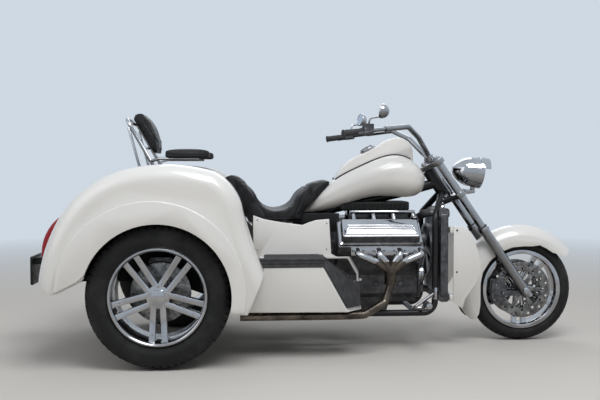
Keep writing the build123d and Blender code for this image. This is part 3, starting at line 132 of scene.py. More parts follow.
class Finish:
    """A material with its nodes, built step by step."""

    def __init__(self, name, colour, rough, metal=0.0, coat=0.0, shine=0.5):
        self.material = bpy.data.materials.new(name)
        self.material.use_nodes = True
        self.nodes = self.material.node_tree.nodes
        self.links = self.material.node_tree.links
        self.shader = self.nodes["Principled BSDF"]
        self.shader.inputs["Base Color"].default_value = (*colour, 1)
        self.shader.inputs["Roughness"].default_value = rough
        self.shader.inputs["Metallic"].default_value = metal
        self.shader.inputs["Coat Weight"].default_value = coat
        self.shader.inputs["Specular IOR Level"].default_value = shine
        self.material.diffuse_color = (*colour, 1)
        self.place = self.nodes.new("ShaderNodeTexCoord").outputs["Object"]
        self.normal = None

    def noise(self, scale, detail=4.0, rough=0.5, stretch=None):
        """Cloudy noise, stretched along an axis where the real grain is."""
        place = self.place
        if stretch:
            mapping = self.nodes.new("ShaderNodeMapping")
            mapping.inputs["Scale"].default_value = stretch
            self.links.new(place, mapping.inputs["Vector"])
            place = mapping.outputs["Vector"]
        noise = self.nodes.new("ShaderNodeTexNoise")
        noise.inputs["Scale"].default_value = scale
        noise.inputs["Detail"].default_value = detail
        noise.inputs["Roughness"].default_value = rough
        self.links.new(place, noise.inputs["Vector"])
        return noise.outputs["Fac"]

    def cells(self, scale):
        """Cell pattern for leather grain, flakes and pebbled plastic."""
        cells = self.nodes.new("ShaderNodeTexVoronoi")
        cells.inputs["Scale"].default_value = scale
        self.links.new(self.place, cells.inputs["Vector"])
        return cells.outputs["Distance"]

    def ramp(self, factor, low, high, start, end):
        """Spread a pattern's middle values from start to end."""
        spread = self.nodes.new("ShaderNodeMapRange")
        for key, value in (("From Min", low), ("From Max", high), ("To Min", start), ("To Max", end)):
            spread.inputs[key].default_value = value
        self.links.new(factor, spread.inputs["Value"])
        return spread.outputs["Result"]

    def facing_up(self):
        """How far the surface faces up, from 0 below to 1 above, with a quick change near the horizon: the mask by
        which painted sky and ground reflections are laid on a colour.
        """
        normal = self.nodes.new("ShaderNodeNewGeometry").outputs["Normal"]
        split = self.nodes.new("ShaderNodeSeparateXYZ")
        self.links.new(normal, split.inputs["Vector"])
        return self.ramp(split.outputs["Z"], -0.55, 0.45, 0, 1)

    def blend(self, first, second, share):
        """Two patterns mixed, with the second one's share of the result."""
        mix = self.nodes.new("ShaderNodeMix")
        mix.inputs["Factor"].default_value = share
        self.links.new(first, mix.inputs["A"])
        self.links.new(second, mix.inputs["B"])
        return mix.outputs["Result"]

    def mix(self, factor, first, second):
        """Mix two colours by a factor and feed the base colour."""
        mix = self.nodes.new("ShaderNodeMix")
        mix.data_type = "RGBA"
        self.links.new(factor, mix.inputs["Factor"])
        mix.inputs["A"].default_value = (*first, 1)
        mix.inputs["B"].default_value = (*second, 1)
        self.links.new(mix.outputs["Result"], self.shader.inputs["Base Color"])
        return self

    def cloud(self, scale, detail, low, high, first, second):
        """Mix two colours by cloudy noise."""
        return self.mix(self.ramp(self.noise(scale, detail), low, high, 0, 1), first, second)

    def worn(self, scale, start, end, detail=4.0, high=0.7):
        """Let the roughness wander between two values."""
        return self.rough(self.ramp(self.noise(scale, detail), 0.3, high, start, end))

    def plated(self, scale, detail, share, dark, bright):
        """Bright metal with a painted reflection: darker where it faces down, as if it mirrored dark ground,
        lighter where it faces up.
        """
        return self.mix(self.blend(self.facing_up(), self.noise(scale, detail), share), dark, bright)

    def rough(self, factor):
        """Feed the roughness."""
        self.links.new(factor, self.shader.inputs["Roughness"])
        return self

    def bump(self, height, distance, strength=1.0):
        """Add a bump layer over the ones before it."""
        bump = self.nodes.new("ShaderNodeBump")
        bump.inputs["Distance"].default_value = distance
        bump.inputs["Strength"].default_value = strength
        self.links.new(height, bump.inputs["Height"])
        if self.normal:
            self.links.new(self.normal, bump.inputs["Normal"])
        self.normal = bump.outputs["Normal"]
        self.links.new(self.normal, self.shader.inputs["Normal"])
        return self


def shade(colour, factor):
    """The colour made lighter or darker."""
    return tuple(min(1, c * factor) for c in colour)


FINISHES = {}
# Mirror-like share of the soft and rubbery finishes
DULL = 0.22


def make_finishes(colours):
    """Every material of the object, by its record slot or by its own name."""
    paint = Finish("pearl_paint", colours.paint, 0.34, coat=0.8)
    # Painted light: where the paint faces up it is lighter and bluer, a painted sky reflection; where it faces down
    # it is darker and warmer, painted shade and ground reflection. Faint random streaks are mixed in.
    below, above = (
        tuple(c * f for c, f in zip(colours.paint, factors)) for factors in ((0.80, 0.78, 0.74), (1.00, 1.02, 1.07))
    )
    paint.mix(paint.blend(paint.facing_up(), paint.noise(2.2, 5, 0.6, (0.35, 1, 2.2)), 0.30), below, above)
    paint.rough(paint.ramp(paint.noise(3, 4), 0.35, 0.7, 0.28, 0.40))
    paint.bump(paint.cells(900), 0.0001, 0.12)

    chrome = Finish("chrome", colours.chrome, 0.06, metal=1)
    # Painted reflection: the chrome is darker where it faces down and bright where it faces up.
    chrome.plated(9, 3, 0.45, shade(colours.chrome, 0.16), colours.chrome[:])
    chrome.worn(14, 0.03, 0.10, high=0.75).bump(chrome.noise(30, 2), 0.0006, 0.12)

    smoked = Finish("smoked_chrome", colours.smoked, 0.12, metal=1)
    # Painted reflection: the darker chrome is darker still where it faces down and lighter where it faces up.
    smoked.plated(12, 4, 0.35, shade(colours.smoked, 0.16), shade(colours.smoked, 1.5))
    smoked.worn(22, 0.07, 0.2, high=0.75)

    leather = Finish("black_leather", colours.leather, 0.42, shine=DULL)
    leather.worn(18, 0.34, 0.52).cloud(7, 4, 0.4, 0.7, colours.leather[:], shade(colours.leather, 1.9))
    leather.bump(leather.cells(420), 0.0012, 0.55).bump(leather.noise(900), 0.0003, 0.4)

    casting = Finish("cast_alloy", colours.casting, 0.45, metal=0.9)
    casting.cloud(24, 6, 0.35, 0.7, shade(colours.casting, 0.55), shade(colours.casting, 1.15))
    casting.bump(casting.noise(260, 6), 0.0008, 0.5)

    frame_black = Finish("frame_black", colours.frame_black, 0.35, shine=0.3)
    frame_black.worn(20, 0.25, 0.45).bump(frame_black.noise(120), 0.0004, 0.3)

    dark_steel = Finish("dark_steel", colours.dark_steel, 0.4, metal=0.7)
    dark_steel.cloud(40, 6, 0.4, 0.7, colours.dark_steel[:], shade(colours.dark_steel, 2.2))
    dark_steel.bump(dark_steel.noise(300), 0.0004, 0.4)

    disc = Finish("brake_disc_steel", (0.42, 0.42, 0.43), 0.28, metal=1)
    disc.worn(60, 0.2, 0.42, 5).cloud(45, 5, 0.35, 0.7, (0.10, 0.10, 0.10), (0.30, 0.29, 0.28))

    tyre = Finish("tyre_rubber", colours.rubber, 0.62, shine=DULL)
    tyre.worn(25, 0.5, 0.75).cloud(9, 6, 0.45, 0.75, colours.rubber[:], shade(colours.rubber, 2.4))
    tyre.bump(tyre.noise(420, 6), 0.0006, 0.4)

    mat = Finish("charcoal_rubber", colours.mat, 0.6, shine=DULL)
    mat.cloud(26, 6, 0.4, 0.7, colours.mat[:], shade(colours.mat, 1.6)).bump(mat.cells(700), 0.0005, 0.5)

    plastic = Finish("black_plastic", (0.010, 0.010, 0.010), 0.38, shine=DULL)
    plastic.worn(30, 0.3, 0.48).bump(plastic.cells(1100), 0.0003, 0.4)

    glass = Finish("lamp_glass", (0.96, 0.98, 1.0), 0.02)
    glass.shader.inputs["Transmission Weight"].default_value = 1
    glass.shader.inputs["IOR"].default_value = 1.3
    glass.bump(glass.noise(60, 1), 0.0004, 0.15)

    lens = Finish("red_lens", colours.lens_red, 0.22, shine=0.35)
    facets = lens.ramp(lens.cells(160), 0.1, 0.55, 0, 1)
    lens.mix(facets, shade(colours.lens_red, 0.4), shade(colours.lens_red, 1.9))
    lens.bump(lens.cells(160), 0.001, 0.25)

    mirror = Finish("mirror_glass", (0.55, 0.62, 0.70), 0.02, metal=1)
    mirror.worn(8, 0.01, 0.04)

    # Painted shade: a near-black finish for the inside of the wheel arches and of the front fender, where the shade
    # round the wheels falls.
    underseal = Finish("underseal", (0.018, 0.018, 0.018), 0.75, shine=DULL)
    underseal.worn(35, 0.6, 0.85).bump(underseal.noise(160, 6), 0.0015, 0.6)

    bowl = Finish("lamp_bowl", (0.86, 0.87, 0.88), 0.08, metal=1)
    bowl.worn(30, 0.05, 0.14)

    marks = Finish("dial_marks", (0.02, 0.02, 0.02), 0.5)
    marks.worn(50, 0.4, 0.6)

    dial = Finish("dial_face", (0.75, 0.75, 0.72), 0.4)
    dial.cloud(40, 4, 0.4, 0.6, (0.74, 0.74, 0.71), (0.80, 0.80, 0.77))

    warm = Finish("heated_steel", (0.12, 0.10, 0.085), 0.3, metal=1)
    warm.cloud(10, 5, 0.35, 0.7, (0.05, 0.042, 0.036), (0.19, 0.155, 0.125)).worn(50, 0.16, 0.34)

    FINISHES.update(
        body_paint=paint, chrome=chrome, seat_leather=leather, engine_metal=casting, frame_paint=frame_black,
        dark_steel=dark_steel, disc_steel=disc, tyre_rubber=tyre, grip_rubber=mat, black_plastic=plastic,
        lamp_glass=glass, lamp_red=lens, mirror_glass=mirror, dial_face=dial, heated_steel=warm,
        underseal=underseal, lamp_bowl=bowl, dial_marks=marks, smoked_chrome=smoked,
    )


# Mesh helpers

def settle(name, mesh, body, finish, angle=35):
    """Link a finished mesh, give it its material and let it ride on its body."""
    for polygon in mesh.polygons:
        polygon.use_smooth = True
    mesh.set_sharp_from_angle(angle=math.radians(angle))
    if not mesh.materials:
        mesh.materials.append(FINISHES[finish].material)
    piece = linked(name, mesh)
    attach(piece, body)
    return piece


def to_mesh(bm, name):
    """Write a bmesh out as a new mesh."""
    mesh = bpy.data.meshes.new(name)
    bm.to_mesh(mesh)
    bm.free()
    return mesh


def closed_piece(bm, name, body, finish, angle=35):
    """Turn a bmesh's faces outward and settle it as a finished piece."""
    bmesh.ops.recalc_face_normals(bm, faces=bm.faces)
    return settle(name, to_mesh(bm, name), body, finish, angle)


def linked(name, mesh):
    """A scene object for a mesh."""
    piece = bpy.data.objects.new(name, mesh)
    bpy.context.scene.collection.objects.link(piece)
    return piece


def join_rings(bm, first, second):
    """Faces between two closed rings of as many points."""
    for k in range(len(first)):
        n = (k + 1) % len(first)
        bm.faces.new((first[k], first[n], second[n], second[k]))


def baked(piece):
    """The mesh of a piece with its modifiers applied."""
    graph = bpy.context.evaluated_depsgraph_get()
    return bpy.data.meshes.new_from_object(piece.evaluated_get(graph), depsgraph=graph)


def node_copy(node):
    """A bmesh of a node with its loose triangles merged and flat faces joined."""
    bm = bmesh.new()
    bm.from_mesh(frame["nodes"][node].data)
    bmesh.ops.remove_doubles(bm, verts=bm.verts, dist=1e-5)
    bmesh.ops.dissolve_limit(bm, angle_limit=math.radians(0.8), verts=bm.verts, edges=bm.edges)
    return bm


def round_edges(mesh, width, segments=2, angle=40):
    """Bevel a mesh's sharp edges with a modifier and return the result."""
    scratch = linked("scratch", mesh)
    bevel = scratch.modifiers.new("edge", "BEVEL")
    bevel.width, bevel.segments = width, segments
    bevel.limit_method, bevel.angle_limit = "ANGLE", math.radians(angle)
    bevel.miter_outer = "MITER_ARC"
    bpy.context.view_layer.update()
    result = baked(scratch)
    bpy.data.objects.remove(scratch)
    return result


def faces_wheel(wheel, reach, y_low, y_high):
    """A test for faces that look towards a wheel from close by: the inside of its arch, which is given painted
    shade.
    """
    x0, z0, wheel_y = WHEELS[wheel]

    def test(centre, normal):
        x, z = centre.x + AXLE_TO_ORIGIN - x0, centre.z - z0
        y = abs(centre.y) - wheel_y
        side = normal.y * (1 if centre.y > 0 else -1)
        wall = side > 0.9 and abs(abs(centre.y) - y_low) < 0.02
        near = math.hypot(x, z) < reach and y_low < abs(centre.y) < y_high
        return wall or near and normal.x * x + normal.z * z + side * y < -0.02

    return test


def barrel_face(wheel, low):
    """A test for the inside of a rim's barrel, and for the flanks of its spokes: the faces that get the darker
    chrome as painted shade.
    """
    x0, z0, _ = WHEELS[wheel]

    def test(centre, normal):
        x, z = centre.x + AXLE_TO_ORIGIN - x0, centre.z - z0
        reach = math.hypot(x, z)
        inside = reach > low and normal.x * x + normal.z * z < -0.5 * reach
        return inside or (0.07 < reach < low + 0.06 and abs(normal.y) < 0.3)

    return test


def belt_face(centre, normal):
    """The flat sides of the belts, just inside the pulleys' edges."""
    depth = centre.x + AXLE_TO_ORIGIN
    return abs(normal.x) > 0.9 and (abs(depth - 1.516) < 0.001 or abs(depth - 1.532) < 0.001)


def face_below(height):
    """A test for faces below a height."""
    return lambda centre, normal: centre.z < height


def plenum_face(centre, normal):
    """The plenum between the intake's rails."""
    return abs(centre.y) < 0.0755 and centre.z < 0.80


SECOND_FINISH = {
    # node: (finish, test of a face's centre and normal)
    # Painted shade inside the rear arches and the front fender: faces that look towards a wheel get the near-black
    # finish.
    "rear_body": ("underseal", faces_wheel("rear", 0.5, 0.42, 0.768)),
    "front_fender": ("underseal", faces_wheel("front", 0.4, -1, 0.0885)),
    "exhaust": ("heated_steel", face_below(0.535)),
    "rocker_covers": ("engine_metal", face_below(0.674)),
    # Painted shade: the insides of the rim barrels and the flanks of the spokes get the darker chrome.
    "rear_rim_left": ("smoked_chrome", barrel_face("rear", 0.19)),
    "rear_rim_right": ("smoked_chrome", barrel_face("rear", 0.19)),
    "front_rim": ("smoked_chrome", barrel_face("front", 0.16)),
    "intake": ("engine_metal", plenum_face),
    "front_drive": ("grip_rubber", belt_face),
}


def paint_faces(mesh, finish, test):
    """Give the faces that pass a test a finish of their own."""
    mesh.materials.append(FINISHES[finish].material)
    index = len(mesh.materials) - 1
    for polygon in mesh.polygons:
        if test(polygon.center, polygon.normal):
            polygon.material_index = index


# The step boards' front end, as (x, z) from under the rear axle: what lies above this line is cut away
STEP_LINE = [
    (0.898, 0.580), (0.938, 0.524), (1.032, 0.443), (1.078, 0.420), (1.25, 0.411), (1.25, 0.75), (0.898, 0.75),
]
STEP_REACH = (0.3125, 0.60)
# Where the mats' level part ends and how high its ribs may stand past that
MAT_FRONT = (0.890, 0.560)
STEP_NODES = ("step_mats", "side_panel_left", "side_panel_right")


def cut_block(mesh, outline, y_low, y_high):
    """Cut a prism with a side outline out of a mesh, on both sides of the vehicle."""
    holder = linked("holder", mesh)
    made = [holder]
    for sign in (-1, 1):
        bm = bmesh.new()
        rings = [[bm.verts.new(at(x, sign * y, z)) for x, z in outline] for y in (y_low, y_high)]
        join_rings(bm, *rings)
        for ring in rings:
            bm.faces.new(ring)
        bmesh.ops.recalc_face_normals(bm, faces=bm.faces)
        cutter = linked("cutter", to_mesh(bm, "cutter"))
        cut = holder.modifiers.new("cut", "BOOLEAN")
        cut.operation, cut.object = "DIFFERENCE", cutter
        made.append(cutter)
    bpy.context.view_layer.update()
    result = baked(holder)
    for piece in made:
        bpy.data.objects.remove(piece)
    return result


def dress_node(node, finish, edge, angle=35):
    """Replace a rigid node by its own shape with rounded edges and smooth curves."""
    mesh = to_mesh(node_copy(node), node + "_finish")
    if node in STEP_NODES:
        mesh = cut_block(mesh, STEP_LINE, *STEP_REACH)
    mesh.materials.clear()
    mesh = round_edges(mesh, edge) if edge else mesh
    piece = settle(node + "_finish", mesh, BODY_OF[node], finish, angle)
    if node in SECOND_FINISH:
        paint_faces(mesh, *SECOND_FINISH[node])
    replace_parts(piece, node)
    return piece


SURFACES = {}


def touch(node, start, direction):
    """Where a ray first meets a node's solid, and the way that its surface faces there."""
    if node not in SURFACES:
        mesh = frame["nodes"][node].data
        places = [v.co.copy() for v in mesh.vertices]
        SURFACES[node] = BVHTree.FromPolygons(places, [p.vertices[:] for p in mesh.polygons])
    hit, normal, _, _ = SURFACES[node].ray_cast(start, direction)
    if hit is None:
        return None
    return hit, -normal if normal.dot(direction) > 0 else normal


def touches(node, starts, direction):
    """The meetings of several rays with a node, without those that miss."""
    return [found for found in (touch(node, start, direction) for start in starts) if found]


RIGID_NODES = {
    # finish: (edge kind, nodes)
    "body_paint": ("edge", (
        "rear_body", "boot_lid", "side_panel_left", "side_panel_right", "fuel_tank", "tank_console",
        "front_fender", "radiator_cowl",
    )),
    "chrome": ("metal_edge", (
        "rear_rim_left", "rear_rim_right", "front_rim", "back_rest_bar", "exhaust", "foot_controls",
        "front_axle", "headlight_bracket", "intake", "mirrors", "rocker_covers", "speedometer",
    )),
    "smoked_chrome": ("metal_edge", ("fork_clamps", "fork_legs", "handlebar")),
    "engine_metal": ("metal_edge", ("engine_block", "gearbox", "front_drive")),
    "frame_paint": ("metal_edge", ("frame_cradle", "frame_spine")),
    "dark_steel": ("metal_edge", ("front_calipers", "hand_controls", "radiator", "rear_axle", "shocks")),
    "disc_steel": ("metal_edge", ("front_discs", "rear_brake_disc_left", "rear_brake_disc_right")),
    "grip_rubber": ("metal_edge", ("step_mats", "grips", "radiator_hose")),
    "black_plastic": ("metal_edge", ("plate_bracket",)),
    "lamp_glass": (None, ("headlight_glass",)),
    "lamp_red": ("metal_edge", ("tail_lights",)),
}


class CRUISER_OT_rigid_finish(bpy.types.Operator):
    """Round the edges of the rigid pieces and give each its finish"""
    bl_idname = "cruiser.rigid_finish"
    bl_label = "Finish rigid pieces"

    def execute(self, context):
        sizes = context.scene.cruiser_sizes
        for finish, (edge, nodes) in RIGID_NODES.items():
            for node in nodes:
                dress_node(node, finish, getattr(sizes, edge) if edge else 0)
        return {"FINISHED"}


# Seats and pads

def soft_cap(normal, swell):
    """How far a point may move: a little where the pad rests on its base, fully elsewhere."""
    return swell * (0.08 if normal.z < -0.45 else 1.0)


def swell_pad(node, context, voxel=0.007, inset=0.004, channels=(), part=None):
    """Grow a stuffed cover from a soft node's solid: remesh, puff with air, then sew the channels in."""
    swell = context.scene.cruiser_sizes.swell
    bm = node_copy(node)
    if part:
        low = [v for v in bm.verts if v.co.y * part < 0]
        bmesh.ops.delete(bm, geom=low, context="VERTS")
    scratch = linked("scratch", to_mesh(bm, "scratch"))
    remesh = scratch.modifiers.new("remesh", "REMESH")
    remesh.mode, remesh.voxel_size = "VOXEL", voxel
    relax = scratch.modifiers.new("relax", "SMOOTH")
    relax.factor, relax.iterations = 0.5, 6
    context.view_layer.update()
    start = baked(scratch)
    bpy.data.objects.remove(scratch)
    normals = [v.normal.copy() for v in start.vertices]
    for vertex, normal in zip(start.vertices, normals):
        vertex.co -= normal * inset
    rest = [v.co.copy() for v in start.vertices]
    scratch = linked("scratch", start)
    moved = rest
    cloth = scratch.modifiers.new("fill", "CLOTH")
    cloth.settings.quality = 3
    cloth.settings.use_pressure = True
    cloth.settings.uniform_pressure_force = 4
    cloth.settings.effector_weights.gravity = 0
    for step in range(1, 14):
        context.scene.frame_set(step)
    moved = [v.co.copy() for v in baked(scratch).vertices]
    context.scene.frame_set(1)
    mesh = scratch.data.copy()
    bpy.data.objects.remove(scratch)
    for vertex, before, after, normal in zip(mesh.vertices, rest, moved, normals):
        shift = after - before
        cap = soft_cap(normal, swell)
        if shift.length > cap:
            shift *= cap / shift.length
        vertex.co = before + shift
        for centre, across_dir, depth, width in channels:
            off = (vertex.co - centre).dot(across_dir)
            vertex.co -= normal * depth * math.exp(-((off / width) ** 2)) * (0 if normal.z < -0.45 else 1)
    return mesh


def section_loops(mesh, centre, direction):
    """The closed lines where a plane cuts a mesh."""
    bm = bmesh.new()
    bm.from_mesh(mesh)
    everything = bm.verts[:] + bm.edges[:] + bm.faces[:]
    cut = bmesh.ops.bisect_plane(bm, geom=everything, plane_co=centre, plane_no=direction)
    edges = {e for e in cut["geom_cut"] if isinstance(e, bmesh.types.BMEdge)}
    loops = []
    while edges:
        edge = edges.pop()
        loop = [edge.verts[0], edge.verts[1]]
        while True:
            following = next((e for e in loop[-1].link_edges if e in edges), None)
            if not following:
                break
            edges.discard(following)
            loop.append(following.other_vert(loop[-1]))
        loops.append([v.co.copy() for v in loop])
    bm.free()
    return [loop for loop in loops if len(loop) > 12]


def even_line(points, pitch, closed=True):
    """Points at an even pitch along a line."""
    if closed:
        points = points + [points[0]] if (points[0] - points[-1]).length > 1e-6 else points
    total = sum((b - a).length for a, b in zip(points, points[1:]))
    count = max(4, round(total / pitch))
    out, walked, target = [], 0.0, 0.0
    for a, b in zip(points, points[1:]):
        length = (b - a).length
        while target <= walked + length + 1e-9 and len(out) < count:
            out.append(a.lerp(b, (target - walked) / length if length else 0))
            target += total / count
        walked += length
    return out


def gap_to(ring):
    """How far a turned ring lies from another, point by point."""
    return lambda turned: sum((a.co - b.co).length for a, b in zip(turned, ring))


def tube_mesh(bm, points, radius, closed=False, sides=10):
    """Sweep a round tube along points into a bmesh; one radius or one for each point."""
    count = len(points)
    radii = radius if isinstance(radius, (list, tuple)) else [radius] * count
    rings, side = [], None
    for i, point in enumerate(points):
        ahead = points[(i + 1) % count] if closed or i < count - 1 else point
        behind = points[i - 1] if closed or i > 0 else point
        run = (ahead - behind).normalized()
        if side is None:
            side = run.orthogonal().normalized()
        side = (side - run * side.dot(run)).normalized()
        other = run.cross(side)
        rings.append([
            bm.verts.new(point + (side * math.cos(t) + other * math.sin(t)) * radii[i])
            for t in (2 * math.pi * k / sides for k in range(sides))
        ])
    if closed:
        rings.append(rings[0])
        # Turn the last ring so that it meets the first without a twist
        rings[-1] = min((rings[0][k:] + rings[0][:k] for k in range(sides)), key=gap_to(rings[-2]))
    for first, second in zip(rings, rings[1:]):
        join_rings(bm, first, second)
    if not closed:
        bm.faces.new(rings[0][::-1])
        bm.faces.new(rings[-1])


def piping(name, mesh, centre, direction, radius):
    """A corded seam round a pad, where a plane cuts it."""
    bm = bmesh.new()
    for loop in section_loops(mesh, centre, direction):
        tube_mesh(bm, even_line(loop, 0.012), radius, closed=True, sides=8)
    return closed_piece(bm, name, "chassis", "seat_leather")


class CRUISER_OT_rider_seat(bpy.types.Operator):
    """Rider's saddle: stuffed cover with a piped seam round its foot and a sewn line across the back"""
    bl_idname = "cruiser.rider_seat"
    bl_label = "Rider's saddle"

    def execute(self, context):
        channels = [
            (at(0.545, 0, 0.85), Vector((1, 0, 0.55)).normalized(), 0.006, 0.006),
            (at(0.815, 0, 0.93), Vector((1, 0, -0.45)).normalized(), 0.005, 0.006),
        ]
        mesh = swell_pad("rider_seat", context, channels=channels)
        seat = settle("rider_seat_cover", mesh, "chassis", "seat_leather", angle=60)
        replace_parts(seat, "rider_seat")
        radius = context.scene.cruiser_sizes.piping
        piping("rider_seat_piping", mesh, at(0.6, 0, 0.775), UP, radius)
        return {"FINISHED"}


class CRUISER_OT_passenger_seat(bpy.types.Operator):
    """Passenger's cushion with piped edges and two sewn channels"""
    bl_idname = "cruiser.passenger_seat"
    bl_label = "Passenger's cushion"

    def execute(self, context):
        channels = [(at(x, 0, 0), Vector((1, 0, 0)), 0.007, 0.006) for x in (0.03, 0.17)]
        mesh = swell_pad("passenger_seat", context, channels=channels)
        seat = settle("passenger_seat_cover", mesh, "chassis", "seat_leather", angle=60)
        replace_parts(seat, "passenger_seat")
        low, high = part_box("passenger_seat")
        radius = context.scene.cruiser_sizes.piping
        for name, share in (("low", 0.22), ("high", 0.74)):
            height = low.z + (high.z - low.z) * share
            piping(f"passenger_seat_piping_{name}", mesh, UP * height, UP, radius)
        return {"FINISHED"}


class CRUISER_OT_back_pad(bpy.types.Operator):
    """Passenger's back pad with a piped edge"""
    bl_idname = "cruiser.back_pad"
    bl_label = "Back pad"

    def execute(self, context):
        mesh = swell_pad("back_pad", context)
        pad = settle("back_pad_cover", mesh, "chassis", "seat_leather", angle=60)
        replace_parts(pad, "back_pad")
        lean = Vector((0.867, 0, 0.499))
        depths = [vertex.co.dot(lean) for vertex in mesh.vertices]
        rear, front = min(depths), max(depths)
        for name, share in (("rear", 0.30), ("front", 0.74)):
            place = lean * (rear + (front - rear) * share)
            piping(f"back_pad_piping_{name}", mesh, place, lean, context.scene.cruiser_sizes.piping)
        return {"FINISHED"}


class CRUISER_OT_arm_pads(bpy.types.Operator):
    """The two rounded arm pads, each with a piped edge"""
    bl_idname = "cruiser.arm_pads"
    bl_label = "Arm pads"

    def execute(self, context):
        for name, side in (("right", -1), ("left", 1)):
            mesh = swell_pad("arm_pads", context, voxel=0.005, part=side)
            pad = settle(f"arm_pad_cover_{name}", mesh, "chassis", "seat_leather", angle=60)
            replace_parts(pad, "arm_pads")
            low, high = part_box("arm_pads")
            height = low.z + (high.z - low.z) * 0.3
            piping(f"arm_pad_piping_{name}", mesh, UP * height, UP, context.scene.cruiser_sizes.piping * 0.8)
        return {"FINISHED"}


# Tyres

def arc(start, middle, end, steps):
    """Points on the circle through three (y, r) places, without the last one."""
    (ax, ay), (bx, by), (cx, cy) = start, middle, end
    d = 2 * (ax * (by - cy) + bx * (cy - ay) + cx * (ay - by))
    a2, b2, c2 = ax * ax + ay * ay, bx * bx + by * by, cx * cx + cy * cy
    ux = (a2 * (by - cy) + b2 * (cy - ay) + c2 * (ay - by)) / d
    uy = (a2 * (cx - bx) + b2 * (ax - cx) + c2 * (bx - ax)) / d
    radius = math.hypot(ax - ux, ay - uy)
    first, last = (math.atan2(y - uy, x - ux) for x, y in (start, end))
    turn = (last - first + math.pi) % (2 * math.pi) - math.pi
    angles = (first + turn * i / steps for i in range(steps))
    return [(ux + radius * math.cos(t), uy + radius * math.sin(t)) for t in angles]


def tyre_profile(half, radius, bead, grooves, groove_w, depth):
    """Half-section points (y, r) from one bead over the tread to the other, each with its tread share."""
    shoulder, crown_end, wall_end = half - 0.018, (half - 0.018, radius - 0.015), (half - 0.014, bead + 0.016)
    foot = wall_end[0]
    crown = arc((-shoulder, radius - 0.015), (0, radius), crown_end, 64) + [crown_end]
    wall = arc(crown_end, (half, (bead + radius) / 2), wall_end, 12) + [wall_end]
    rows = []
    for y, r in crown:
        share = abs(y) / shoulder
        near = min((abs(y - g * shoulder) for g in grooves), default=1)
        rows.append((y, r - (depth if near < groove_w / 2 else 0), 1.0 if share > 0.66 else 0.0))
    wall_rows = []
    for i, (y, r) in enumerate(wall[1:]):
        ridge = 0.0012 if i in (2, 7) else 0
        wall_rows.append((y + ridge, r, 0.7 if i == 0 else 0))
    left = [(-y, r, t) for y, r, t in reversed(wall_rows)]
    return [(-foot, bead, 0)] + left + rows + wall_rows + [(foot, bead, 0)]


def tyre_mesh(node, name, pitches, grooves, groove_w, depth, bead):
    """A tyre with rib grooves round it and cut shoulder blocks."""
    low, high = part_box(node)
    centre, half, radius = (low + high) / 2, (high.y - low.y) / 2, (high.z - low.z) / 2
    rows = tyre_profile(half, radius, bead, grooves, groove_w, depth)
    bm, rings = bmesh.new(), []
    block = ((0, 0), (0.70, 0), (0.74, 1), (0.96, 1))
    steps = [(p + share, lowered) for p in range(pitches) for share, lowered in block]
    for turn, lowered in steps:
        t = 2 * math.pi * turn / pitches
        section = [(y, r - lowered * cut * depth) for y, r, cut in rows]
        rings.append([bm.verts.new(centre + Vector((r * math.cos(t), y, r * math.sin(t)))) for y, r in section])
    for first, second in zip(rings, rings[1:] + rings[:1]):
        join_rings(bm, first, second)
    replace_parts(closed_piece(bm, name, BODY_OF[node], "tyre_rubber", angle=40), node)


class CRUISER_OT_tyres(bpy.types.Operator):
    """The three tyres: ribbed tread with cut shoulders and ridged walls"""
    bl_idname = "cruiser.tyres"
    bl_label = "Tyres"

    def execute(self, context):
        depth = context.scene.cruiser_sizes.tread
        grooves = (-0.6, -0.2, 0.2, 0.6)
        for side in ("left", "right"):
            tyre_mesh(f"rear_tyre_{side}", f"rear_tyre_{side}_tread", 58, grooves, 0.009, depth, 0.252)
        tyre_mesh("front_tyre", "front_tyre_tread", 52, (-0.35, 0.35), 0.005, depth * 0.7, 0.229)
        return {"FINISHED"}


# Repeats by Geometry Nodes

def new_tree(name, inputs):
    """A geometry tree with a geometry input and output, and named inputs."""
    tree = bpy.data.node_groups.new(name, "GeometryNodeTree")
    tree.interface.new_socket("Geometry", in_out="OUTPUT", socket_type="NodeSocketGeometry")
    tree.interface.new_socket("Geometry", in_out="INPUT", socket_type="NodeSocketGeometry")
    for key, kind in inputs:
        tree.interface.new_socket(key, in_out="INPUT", socket_type=f"NodeSocket{kind}")
    return tree, tree.nodes.new("NodeGroupInput"), tree.nodes.new("NodeGroupOutput")


def wire(tree, *pairs):
    """Link outputs to inputs."""
    for source, target in pairs:
        tree.links.new(source, target)


def finish_tree(tree, given, out, instances, smooth):
    """Realize the instances, set their material and smoothness, and join them to the output."""
    realize = tree.nodes.new("GeometryNodeRealizeInstances")
    shade_node = tree.nodes.new("GeometryNodeSetShadeSmooth")
    shade_node.inputs["Shade Smooth"].default_value = smooth
    material = tree.nodes.new("GeometryNodeSetMaterial")
    wire(
        tree,
        (instances, realize.inputs["Geometry"]),
        (realize.outputs["Geometry"], shade_node.inputs["Geometry"]),
        (shade_node.outputs["Geometry"], material.inputs["Geometry"]),
        (given.outputs["Finish"], material.inputs["Material"]),
        (material.outputs["Geometry"], out.inputs["Geometry"]),
    )
    return tree


